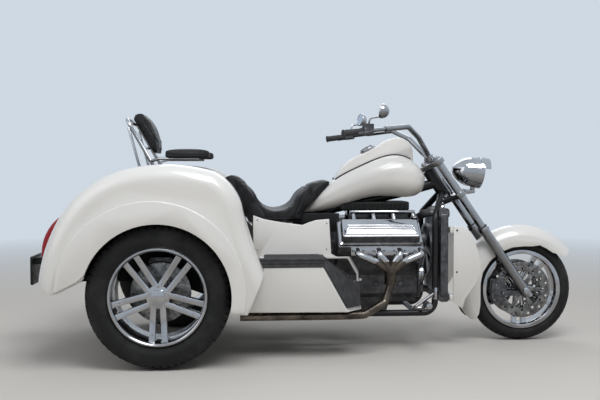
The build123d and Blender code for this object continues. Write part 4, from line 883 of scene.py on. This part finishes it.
def screw_tree():
    """Round-headed screws on points; each point says its own direction."""
    tree, given, out = new_tree(
        "screws", (("Radius", "Float"), ("Height", "Float"), ("Sides", "Int"), ("Finish", "Material"))
    )
    head = tree.nodes.new("GeometryNodeMeshCone")
    half = tree.nodes.new("ShaderNodeMath")
    half.operation, half.inputs[1].default_value = "MULTIPLY", 0.74
    aim = tree.nodes.new("GeometryNodeInputNamedAttribute")
    aim.data_type, aim.inputs["Name"].default_value = "FLOAT_VECTOR", "aim"
    turn = tree.nodes.new("FunctionNodeAlignRotationToVector")
    turn.axis = "Z"
    place = tree.nodes.new("GeometryNodeInstanceOnPoints")
    wire(
        tree, (given.outputs["Radius"], half.inputs[0]), (given.outputs["Sides"], head.inputs["Vertices"]),
        (half.outputs["Value"], head.inputs["Radius Top"]),
        (given.outputs["Radius"], head.inputs["Radius Bottom"]),
        (given.outputs["Height"], head.inputs["Depth"]), (aim.outputs["Attribute"], turn.inputs["Vector"]),
        (given.outputs["Geometry"], place.inputs["Points"]), (head.outputs["Mesh"], place.inputs["Instance"]),
        (turn.outputs["Rotation"], place.inputs["Rotation"]),
    )
    return finish_tree(tree, given, out, place.outputs["Instances"], False)


def rib_tree():
    """A row of straight ribs, one step apart."""
    vectors = tuple((key, "Vector") for key in ("Start", "Step", "Size"))
    tree, given, out = new_tree("ribs", (("Count", "Int"), *vectors, ("Finish", "Material")))
    line = tree.nodes.new("GeometryNodeMeshLine")
    line.mode = "OFFSET"
    rib = tree.nodes.new("GeometryNodeMeshCube")
    place = tree.nodes.new("GeometryNodeInstanceOnPoints")
    wire(
        tree,
        (given.outputs["Count"], line.inputs["Count"]), (given.outputs["Start"], line.inputs["Start Location"]),
        (given.outputs["Step"], line.inputs["Offset"]), (given.outputs["Size"], rib.inputs["Size"]),
        (line.outputs["Mesh"], place.inputs["Points"]), (rib.outputs["Mesh"], place.inputs["Instance"]),
    )
    return finish_tree(tree, given, out, place.outputs["Instances"], False)


def bead_tree():
    """Round beads strung along a line at an even pitch."""
    tree, given, out = new_tree("beads", (("Radius", "Float"), ("Pitch", "Float"), ("Finish", "Material")))
    curve = tree.nodes.new("GeometryNodeMeshToCurve")
    even = tree.nodes.new("GeometryNodeResampleCurve")
    even.mode = "LENGTH"
    bead = tree.nodes.new("GeometryNodeMeshIcoSphere")
    bead.inputs["Subdivisions"].default_value = 2
    place = tree.nodes.new("GeometryNodeInstanceOnPoints")
    wire(
        tree, (given.outputs["Geometry"], curve.inputs["Mesh"]), (curve.outputs["Curve"], even.inputs["Curve"]),
        (given.outputs["Pitch"], even.inputs["Length"]), (given.outputs["Radius"], bead.inputs["Radius"]),
        (even.outputs["Curve"], place.inputs["Points"]), (bead.outputs["Mesh"], place.inputs["Instance"]),
    )
    return finish_tree(tree, given, out, place.outputs["Instances"], True)


TREES = {}


def grown(kind, source, finish, **values):
    """Run a tree on a source mesh and return the plain mesh."""
    makers = {"screws": screw_tree, "ribs": rib_tree, "beads": bead_tree}
    tree = TREES.get(kind) or TREES.setdefault(kind, makers[kind]())
    holder = linked("holder", source)
    step = holder.modifiers.new(kind, "NODES")
    step.node_group = tree
    values["Finish"] = FINISHES[finish].material
    for item in tree.interface.items_tree:
        if item.item_type == "SOCKET" and item.in_out == "INPUT" and item.name in values:
            step[item.identifier] = values[item.name]
    bpy.context.view_layer.update()
    mesh = baked(holder)
    bpy.data.objects.remove(holder)
    return mesh


def line_mesh(points):
    """A mesh of one open line."""
    mesh = bpy.data.meshes.new("line")
    mesh.from_pydata(points, [(i, i + 1) for i in range(len(points) - 1)], [])
    return mesh


def screws(name, body, places, radius, finish="chrome", sides=12, height=0.6):
    """Screw heads at (place, direction) pairs, each standing on its surface."""
    mesh = bpy.data.meshes.new("points")
    mesh.from_pydata([place for place, _ in places], [], [])
    mesh.attributes.new("aim", "FLOAT_VECTOR", "POINT")
    aims = [c for _, direction in places for c in Vector(direction).normalized()]
    mesh.attributes["aim"].data.foreach_set("vector", aims)
    heads = grown("screws", mesh, finish, Radius=radius, Height=radius * height, Sides=sides)
    return settle(name, heads, body, finish)


def row_of_ribs(name, finish, count, start, step, extent):
    """A row of bars on the chassis."""
    blank = line_mesh([(0, 0, 0), (0, 0, 0.01)])
    bars = grown("ribs", blank, finish, Count=count, Start=start, Step=step, Size=extent)
    return settle(name, bars, "chassis", finish)


def both_sides(places):
    """The same places and directions on the left as on the right."""
    flip = Vector((1, -1, 1))
    return list(places) + [(place * flip, direction * flip) for place, direction in places]


def around(centre, radius, count, start=0.0):
    """Places on an upright circle that faces sideways."""
    turns = (math.radians(start) + 2 * math.pi * i / count for i in range(count))
    return [centre + Vector((math.cos(t), 0, math.sin(t))) * radius for t in turns]


def spread(low, high, count):
    """Even places from low to high."""
    return [low + (high - low) * i / (count - 1) for i in range(count)]


BANK_OUT, BANK_UP = Vector((0, -1, 1)).normalized(), Vector((0, 1, 1)).normalized()


class CRUISER_OT_fasteners(bpy.types.Operator):
    """Bolts, nuts and caps of the engine, wheels, fork and bodywork"""
    bl_idname = "cruiser.fasteners"
    bl_label = "Fasteners"

    def execute(self, context):
        head = context.scene.cruiser_sizes.screw
        bank = at(1.243, -0.282, 0.684) + BANK_OUT * 0.3
        across = spread(-0.205, 0.205, 5)
        cover = [bank + Vector((x, 0, 0)) + BANK_UP * row for x in across for row in (-0.082, 0.082)]
        ports = [port + side * 0.031 for port in spread(1.108, 1.468, 4) for side in (-1, 1) if port + side < 2.45]
        flange = [at(x, -0.6, 0.592) for x in ports]
        sump = [at(x, -0.5, 0.305) for x in spread(1.02, 1.47, 8)]
        plugs = [at(x, -0.5, 0.375) for x in (1.09, 1.24, 1.39)]
        cowl = [at(1.712, -0.5, z) for z in (0.452, 0.700)]
        panel = [at(x, -0.5, z) for x, z in ((0.53, 0.60), (0.93, 0.60), (0.93, 0.75), (0.53, 0.77))]
        plate = [at(x, -0.5, z) for x, z in ((1.045, 0.45), (1.12, 0.42))]
        rows = (
            ("cover_bolts", "rocker_covers", cover, -BANK_OUT, head * 0.85, "dark_steel", 6),
            ("flange_bolts", "exhaust", flange, INWARD, head, "dark_steel", 6),
            ("block_bolts", "engine_block", sump, INWARD, head * 0.9, "dark_steel", 6),
            ("core_plugs", "engine_block", plugs, INWARD, head * 3.2, "dark_steel", 20),
            ("cowl_screws", "radiator_cowl", cowl, INWARD, head, "dark_steel", 14),
            ("panel_screws", "side_panel_right", panel + plate, INWARD, head * 0.8, "chrome", 14),
        )
        for name, node, starts, direction, radius, finish, sides in rows:
            places = both_sides(touches(node, starts, direction))
            flat = 0.22 if sides > 14 else 0.6
            screws(name, "chassis", places, radius, finish, sides, flat)
        for side, sign in SIDES:
            hub = at(0, sign * 0.95, 0.39)
            nuts = touches(f"rear_rim_{side}", around(hub, 0.053, 5, 90), INWARD * -sign)
            pins = touches(f"rear_rim_{side}", around(hub, 0.205, 10, 9), INWARD * -sign)
            screws(f"lug_nuts_{side}", f"rear_wheel_{side}", nuts, head * 1.1, "chrome", 6, 0.9)
            screws(f"rim_pins_{side}", f"rear_wheel_{side}", pins, head * 0.5, "dark_steel", 10)
        wheel = at(2.168, -0.3, 0.32)
        rivets = touches("front_discs", around(wheel, 0.113, 6), INWARD)
        screws("disc_rivets", "front_wheel", both_sides(rivets), head, "dark_steel", 12, 0.4)
        hub_bolts = touches("front_discs", around(wheel, 0.028, 5, 36), INWARD)
        screws("hub_bolts", "front_wheel", both_sides(hub_bolts), head * 0.6, "chrome", 6)
        caliper = [at(x, -0.3, z) for x, z in ((1.995, 0.352), (1.985, 0.262), (2.034, 0.304))]
        caliper = touches("front_calipers", caliper, INWARD)
        screws("caliper_bolts", "steering", both_sides(caliper), head, "chrome", 6)
        caps = [(steer(0.986, 0.06, -0.122), STEER_UP)]
        screws("fork_caps", "steering", both_sides(caps), 0.018, "chrome", 6, 0.4)
        screws("stem_nut", "steering", [(steer(0.982, 0, 0), STEER_UP)], 0.016, "chrome", 6, 0.5)
        pinch = [steer(h, 0.3, y) for h in (0.716, 0.956) for y in (-0.098, -0.05)]
        pinch = touches("fork_clamps", pinch, -STEER_AHEAD)
        screws("clamp_bolts", "steering", both_sides(pinch), head, "chrome", 6)
        filler = touch("rocker_covers", at(1.452, -0.262, 1.2), DOWN)
        if filler:
            screws("filler_cap", "chassis", [filler], 0.026, "chrome", 24, 0.8)
        neck = touch("radiator", at(1.642, -0.12, 1.2), DOWN)
        screws("radiator_cap", "chassis", [neck], 0.029, "chrome", 18, 0.45)
        return {"FINISHED"}


def ring_piece(name, body, places, finish, ring_r, wire_r):
    """Thin rings, each round a centre and facing a direction."""
    bm = bmesh.new()
    for centre, facing in places:
        side = facing.orthogonal().normalized()
        other = facing.cross(side)
        turns = (2 * math.pi * k / 36 for k in range(36))
        line = [centre + (side * math.cos(t) + other * math.sin(t)) * ring_r for t in turns]
        tube_mesh(bm, line, wire_r, closed=True, sides=8)
    return closed_piece(bm, name, body, finish)


def sleeve(bm, start, end, low, high, ribs):
    """A ribbed rubber sleeve round a bar."""
    points, radii = [], []
    for i in range(ribs * 4 + 1):
        points.append(start.lerp(end, i / (ribs * 4)))
        radii.append(high if i % 4 in (1, 2) else low)
    tube_mesh(bm, points, radii, sides=20)


class CRUISER_OT_controls(bpy.types.Operator):
    """Ribbed grips and pegs, switches, mirror glasses, fork seals and the speedometer's dial"""
    bl_idname = "cruiser.controls"
    bl_label = "Controls"

    def execute(self, context):
        bar_end, bar_in = at(1.010, -0.455, 1.262), at(1.262, -0.352, 1.292)
        run = (bar_in - bar_end).normalized()
        for side, flip in (("right", Vector((1, 1, 1))), ("left", Vector((1, -1, 1)))):
            sleeves = (
                ("grip_ribs", "steering", bar_end + run * 0.006, bar_end + run * 0.110, 0.0189, 14),
                ("peg_rubber", "chassis", at(1.5, -0.467, 0.285), at(1.5, -0.374, 0.285), 0.0192, 8),
            )
            for name, body, start, end, crest, ribs in sleeves:
                bm = bmesh.new()
                sleeve(bm, start * flip, end * flip, 0.0174, crest, ribs)
                closed_piece(bm, f"{name}_{side}", body, "grip_rubber", angle=50)
        look = Vector((0.90, -0.34, -0.22)).normalized()
        glass = (at(1.226, -0.432, 1.390) - look * 0.0004, -look)
        screws("mirror_glasses", "steering", both_sides([glass]), 0.0385, "mirror_glass", 40, 0.03)
        ring_piece("mirror_rims", "steering", both_sides([glass]), "chrome", 0.0390, 0.0020)
        seals = both_sides([(steer(0.4745, 0.06, -0.122), STEER_UP)])
        ring_piece("fork_seals", "steering", seals, "grip_rubber", 0.0262, 0.0042)
        above = bar_end + UP * 0.2
        buttons = [above + run * d for d in (0.134, 0.146)]
        keys = [bar_end + run * 0.150 + Vector((-0.08, 0, h)) for h in (-0.01, 0.008)]
        switches = touches("hand_controls", buttons, DOWN) + touches("hand_controls", keys, Vector((1, 0, 0)))
        screws("switches", "steering", both_sides(switches), 0.0055, "grip_rubber", 10, 0.9)
        reservoir = touches("hand_controls", [above + run * d for d in (0.142, 0.182)], DOWN)
        screws("reservoir_screws", "steering", both_sides(reservoir), 0.003, "chrome", 10)
        self.dial(context)
        return {"FINISHED"}

    def dial(self, context):
        """The dial: pale face, dark marks round it, a needle and a chrome rim."""
        up = Vector((-0.445, 0, 0.896)).normalized()
        top = at(1.216, 0, 1.176) + up * 0.0203
        left, ahead = Vector((0, 1, 0)), Vector((0, 1, 0)).cross(up)
        screws("dial_face", "chassis", [(top + up * 0.0002, up)], 0.0405, "dial_face", 48, 0.01)
        ring_piece("dial_rim", "chassis", [(top + up * 0.001, up)], "chrome", 0.0415, 0.0026)
        bm = bmesh.new()
        for i in range(29):
            turn = math.radians(-130 + 260 * i / 28)
            out = ahead * math.cos(turn) + left * math.sin(turn)
            start, end = 0.030 if i % 4 == 0 else 0.034, 0.0375
            tube_mesh(bm, [top + up * 0.0007 + out * start, top + up * 0.0007 + out * end], 0.0006, sides=6)
        needle = ahead * math.cos(-2.1) + left * math.sin(-2.1)
        over = top + up * 0.003
        tube_mesh(bm, [over - needle * 0.008, over + needle * 0.030], [0.0011, 0.0005], sides=6)
        tube_mesh(bm, [top + up * 0.0005, top + up * 0.0045], 0.0042, sides=16)
        closed_piece(bm, "dial_marks", "chassis", "dial_marks")


def follow(node, starts, direction, lift=0.0):
    """A line laid on a node's surface, lifted off it by a little."""
    return [hit + normal * lift for hit, normal in touches(node, starts, direction)]


def swept(bm, sections):
    """A solid strip through rings of places, capped at both ends."""
    rings = [[bm.verts.new(place) for place in section] for section in sections]
    for first, second in zip(rings, rings[1:]):
        join_rings(bm, first, second)
    bm.faces.new(rings[0])
    bm.faces.new(rings[-1])


def block(name, low, high, edge):
    """A rounded box of black plastic between two corners."""
    bm = bmesh.new()
    extent = Matrix.Diagonal((*(high - low), 1))
    bmesh.ops.create_cube(bm, size=1, matrix=Matrix.Translation((low + high) / 2) @ extent)
    return settle(name, round_edges(to_mesh(bm, name), edge, 3), "chassis", "black_plastic")


class CRUISER_OT_air_box(bpy.types.Operator):
    """A black ribbed box under the tank as painted shade in the gap between tank and engine, the seat's skirts, the
    generator and the boards' edge bands
    """
    bl_idname = "cruiser.air_box"
    bl_label = "Air box and covers"

    def execute(self, context):
        # Painted shade: a black ribbed box fills the gap under the tank, where the shade falls.
        block("air_box", at(1.030, -0.116, 0.8135), at(1.452, 0.116, 0.866), 0.010)
        for side, sign in SIDES:
            first = at(1.055, sign * 0.118, 0.838)
            row_of_ribs(f"air_box_ribs_{side}", "black_plastic", 15, first, (0.0266, 0, 0), (0.009, 0.008, 0.040))
            low, high = sorted((sign * 0.150, sign * 0.158))
            block(f"seat_skirt_{side}", at(0.760, low, 0.690), at(1.020, high, 0.800), 0.003)
            self.band(side, sign)
        self.generator()
        return {"FINISHED"}

    def generator(self):
        """A finned case beside the crank pulley, with a ring at each end."""
        bm = bmesh.new()
        line = [0.0, 0.004, 0.010, 0.012, 0.019, 0.021, 0.028, 0.030, 0.036, 0.040]
        radii = [0.034, 0.046, 0.049, 0.044, 0.044, 0.049, 0.049, 0.044, 0.049, 0.038]
        centre = at(1.472, -0.246, 0.447)
        tube_mesh(bm, [centre + Vector((d, 0, 0)) for d in line], radii, sides=32)
        closed_piece(bm, "generator", "chassis", "chrome")

    def band(self, side, sign):
        """The dark band along the outer edge of a board, with two grooves."""
        outer, inner, face, middle = 0.5440, 0.5270, 0.5405, 0.5455
        profile = [
            (inner, 0.519), (face, 0.519), (outer, 0.523), (outer, 0.533), (face, 0.536), (face, 0.540),
            (outer, 0.543), (outer, 0.550), (face, 0.553), (face, 0.557), (outer, 0.560), (outer, 0.568),
            (face, 0.572), (inner, 0.572),
        ]
        ends = ((0.532, 0.55), (0.536, 0.85), (0.544, 1.0), (0.880, 1.0), (0.890, 0.85), (0.896, 0.55))
        bm = bmesh.new()
        swept(bm, [[at(x, sign * y, middle + (z - middle) * share) for y, z in profile] for x, share in ends])
        closed_piece(bm, f"board_edge_{side}", "chassis", "grip_rubber")


def under_step_line(place):
    """Whether a place on the boards lies below the line of their front end."""
    x = place.x + AXLE_TO_ORIGIN
    if x < MAT_FRONT[0] or place.z >= MAT_FRONT[1]:
        return x < MAT_FRONT[0]
    if x < STEP_LINE[0][0]:
        return True
    for (x0, z0), (x1, z1) in zip(STEP_LINE, STEP_LINE[1:5]):
        if x0 <= x <= x1:
            return place.z < z0 + (z1 - z0) * (x - x0) / (x1 - x0) - 0.004
    return False


class CRUISER_OT_trim(bpy.types.Operator):
    """Beaded lid trim, tank seam strips, board ribs and radiator fins"""
    bl_idname = "cruiser.trim"
    bl_label = "Trim"

    def execute(self, context):
        sizes = context.scene.cruiser_sizes
        for side, sign in SIDES:
            above = [at(x, sign * 0.0795, 1.5) for x in spread(1.006, 1.462, 26)]
            bm = bmesh.new()
            tube_mesh(bm, follow("fuel_tank", above, DOWN, 0.001), 0.0062, sides=8)
            closed_piece(bm, f"tank_seam_{side}", "chassis", "black_plastic")
            edge = []
            for x in spread(-0.185, -0.582, 30):
                rows = spread(0.46, 0.30, 81)
                reach = next((y for y in rows if touch("boot_lid", at(x, sign * y, 1.5), DOWN)), None)
                if reach:
                    hit, normal = touch("boot_lid", at(x, sign * (reach - 0.007), 1.5), DOWN)
                    edge.append(hit + normal * sizes.bead * 0.5)
            beads = grown("beads", line_mesh(edge), "chrome", Radius=sizes.bead, Pitch=sizes.bead * 2.3)
            settle(f"lid_beads_{side}", beads, "boot_lid", "chrome")
            bm = bmesh.new()
            for y in spread(0.326, 0.512, 12):
                above = [at(x, sign * y, 1.2) for x in spread(0.575, 1.105, 54)]
                line = [place for place in follow("step_mats", above, DOWN) if under_step_line(place)]
                if len(line) > 3:
                    tube_mesh(bm, line, sizes.rib, sides=6)
            closed_piece(bm, f"mat_ribs_{side}", "chassis", "grip_rubber")
        pitch = 0.0072
        for name, x in (("front", 1.6645), ("rear", 1.6195)):
            extent = (0.002, 0.42, pitch * 0.4)
            row_of_ribs(f"radiator_fins_{name}", "dark_steel", 58, at(x, 0, 0.342), (0, 0, pitch), extent)
        return {"FINISHED"}


class CRUISER_OT_headlight(bpy.types.Operator):
    """The lamp shell with a hollow reflector, its bulb and a rim"""
    bl_idname = "cruiser.headlight"
    bl_label = "Headlight"

    def execute(self, context):
        tilt = math.radians(8)
        look = Vector((math.cos(tilt), 0, -math.sin(tilt)))
        centre = at(1.850, 0, 1.046)
        bm = node_copy("headlight")
        face = [
            f for f in bm.faces
            if f.normal.dot(look) > 0.98 and abs((f.calc_center_median() - centre).dot(look) - 0.060) < 0.002
        ]
        bmesh.ops.delete(bm, geom=face, context="FACES")
        rows = [(0.060, 0.0838), (0.044, 0.078), (0.020, 0.064), (0.0, 0.046), (-0.010, 0.030), (-0.014, 0.012)]
        mesh = round_edges(to_mesh(bm, "headlight_finish"), 0.0012)
        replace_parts(settle("headlight_finish", mesh, "steering", "chrome"), "headlight")
        side, down = INWARD, INWARD.cross(look)
        bm, rings = bmesh.new(), []
        for depth, radius in rows:
            rings.append([
                bm.verts.new(centre + look * depth + (side * math.cos(t) + down * math.sin(t)) * radius)
                for t in (2 * math.pi * k / 40 for k in range(40))
            ])
        for first, second in zip(rings, rings[1:]):
            join_rings(bm, first, second)
        bm.faces.new(rings[-1])
        settle("headlight_bowl", to_mesh(bm, "headlight_bowl"), "steering", "lamp_bowl")
        bm = bmesh.new()
        line = [centre + look * depth for depth in (-0.014, 0.012, 0.020, 0.026)]
        tube_mesh(bm, line, [0.011, 0.011, 0.008, 0.002], sides=18)
        closed_piece(bm, "headlight_bulb", "steering", "lamp_glass")
        ring_piece("headlight_rim", "steering", [(centre + look * 0.0705, look)], "chrome", 0.0912, 0.0038)
        return {"FINISHED"}


BACKDROP = (0.62, 0.69, 0.765)
FLOOR = (0.56, 0.545, 0.52)


def seeing_rays(tree):
    """One for camera, glossy and transmission rays, which see the backdrop; nothing for the rest."""
    rays = tree.nodes.new("ShaderNodeLightPath")
    total = rays.outputs["Is Camera Ray"]
    for kind in ("Is Glossy Ray", "Is Transmission Ray"):
        add = tree.nodes.new("ShaderNodeMath")
        add.operation, add.use_clamp = "ADD", True
        tree.links.new(total, add.inputs[0])
        tree.links.new(rays.outputs[kind], add.inputs[1])
        total = add.outputs["Value"]
    return total


class CRUISER_OT_stage(bpy.types.Operator):
    """Set the floor, the soft lights and the camera"""
    bl_idname = "cruiser.stage"
    bl_label = "Stage"

    def execute(self, context):
        scene = context.scene
        mesh = bpy.data.meshes.new("floor")
        reach = 60
        corners = [(x * reach, y * reach, 0) for x, y in ((-1, -1), (1, -1), (1, 1), (-1, 1))]
        mesh.from_pydata(corners, [], [(0, 1, 2, 3)])
        ground = Finish("floor", FLOOR, 0.8, shine=0.1)
        far = ground.nodes.new("ShaderNodeVectorMath")
        far.operation = "LENGTH"
        ground.links.new(ground.place, far.inputs[0])
        haze = ground.nodes.new("ShaderNodeEmission")
        haze.inputs["Color"].default_value = (*BACKDROP, 1)
        seen = ground.nodes.new("ShaderNodeMath")
        seen.operation = "MULTIPLY"
        ground.links.new(ground.ramp(far.outputs["Value"], 3.0, 9, 0, 1), seen.inputs[0])
        ground.links.new(seeing_rays(ground.material.node_tree), seen.inputs[1])
        fade = ground.nodes.new("ShaderNodeMixShader")
        ground.links.new(seen.outputs["Value"], fade.inputs["Fac"])
        ground.links.new(ground.shader.outputs["BSDF"], fade.inputs[1])
        ground.links.new(haze.outputs["Emission"], fade.inputs[2])
        ground.links.new(fade.outputs["Shader"], ground.nodes["Material Output"].inputs["Surface"])
        mesh.materials.append(ground.material)
        floor = bpy.data.objects.new("floor", mesh)
        scene.collection.objects.link(floor)
        world = bpy.data.worlds.new("studio")
        world.use_nodes = True
        scene.world = world
        nodes, links = world.node_tree.nodes, world.node_tree.links
        place = nodes.new("ShaderNodeTexCoord")
        split = nodes.new("ShaderNodeSeparateXYZ")
        links.new(place.outputs["Generated"], split.inputs["Vector"])
        ramp = nodes.new("ShaderNodeValToRGB")
        ramp.color_ramp.elements[0].position, ramp.color_ramp.elements[0].color = 0.0, (0.62, 0.64, 0.66, 1)
        ramp.color_ramp.elements[1].position, ramp.color_ramp.elements[1].color = 0.7, (0.95, 0.97, 1.0, 1)
        links.new(split.outputs["Z"], ramp.inputs["Fac"])
        links.new(ramp.outputs["Color"], nodes["Background"].inputs["Color"])
        nodes["Background"].inputs["Strength"].default_value = 0.42
        seen = nodes.new("ShaderNodeBackground")
        seen.inputs["Color"].default_value = (*BACKDROP, 1)
        pick = nodes.new("ShaderNodeMixShader")
        links.new(seeing_rays(world.node_tree), pick.inputs["Fac"])
        links.new(nodes["Background"].outputs["Background"], pick.inputs[1])
        links.new(seen.outputs["Background"], pick.inputs[2])
        links.new(pick.outputs["Shader"], nodes["World Output"].inputs["Surface"])
        for name, place, energy, extent in (
            ("key", (0.9, -3.4, 5.4), 235, 3.2),
            ("fill", (-4.5, -3.0, 3.0), 55, 4.0),
            ("back", (0.5, 4.5, 4.5), 80, 4.0),
        ):
            light = bpy.data.lights.new(name, "AREA")
            light.energy, light.size = energy, extent
            lamp = bpy.data.objects.new(name, light)
            lamp.location = place
            lamp.rotation_euler = (Vector((0, 0, 0.5)) - Vector(place)).to_track_quat("-Z", "Y").to_euler()
            scene.collection.objects.link(lamp)
        lens = bpy.data.cameras.new("photo_camera")
        lens.lens, lens.sensor_width = 51.0, 36.0
        lens.shift_x, lens.shift_y = -0.0025, 0.005
        camera = bpy.data.objects.new("photo_camera", lens)
        camera.location = (-0.406, -5.193, 1.062)
        camera.rotation_euler = (math.radians(90 - 2.28), 0, math.radians(-4))
        scene.collection.objects.link(camera)
        scene.camera = camera
        scene.view_settings.view_transform = "Standard"
        return {"FINISHED"}


OPERATORS = [
    CRUISER_OT_rigid_finish, CRUISER_OT_rider_seat, CRUISER_OT_passenger_seat, CRUISER_OT_back_pad,
    CRUISER_OT_arm_pads, CRUISER_OT_tyres, CRUISER_OT_fasteners, CRUISER_OT_controls, CRUISER_OT_trim,
    CRUISER_OT_air_box, CRUISER_OT_headlight, CRUISER_OT_stage,
]


class CRUISER_PT_panel(bpy.types.Panel):
    """Lists the steps in the order they are made"""
    bl_label = "Cruiser"
    bl_idname = "CRUISER_PT_panel"
    bl_space_type = "VIEW_3D"
    bl_region_type = "UI"
    bl_category = "Cruiser"

    def draw(self, context):
        for group in (context.scene.cruiser_colours, context.scene.cruiser_sizes):
            for key in group.__annotations__:
                self.layout.prop(group, key)
        for operator in OPERATORS:
            self.layout.operator(operator.bl_idname)


def register():
    for group in (CruiserColours, CruiserSizes, *OPERATORS, CRUISER_PT_panel):
        bpy.utils.register_class(group)
    bpy.types.Scene.cruiser_colours = bpy.props.PointerProperty(type=CruiserColours)
    bpy.types.Scene.cruiser_sizes = bpy.props.PointerProperty(type=CruiserSizes)


def unregister():
    del bpy.types.Scene.cruiser_colours
    del bpy.types.Scene.cruiser_sizes
    for group in reversed((CruiserColours, CruiserSizes, *OPERATORS, CRUISER_PT_panel)):
        bpy.utils.unregister_class(group)


def main():
    """Make every piece in order."""
    register()
    make_finishes(bpy.context.scene.cruiser_colours)
    for operator in OPERATORS:
        group, step = operator.bl_idname.split(".")
        getattr(getattr(bpy.ops, group), step)()


if __name__ == "__main__":
    main()
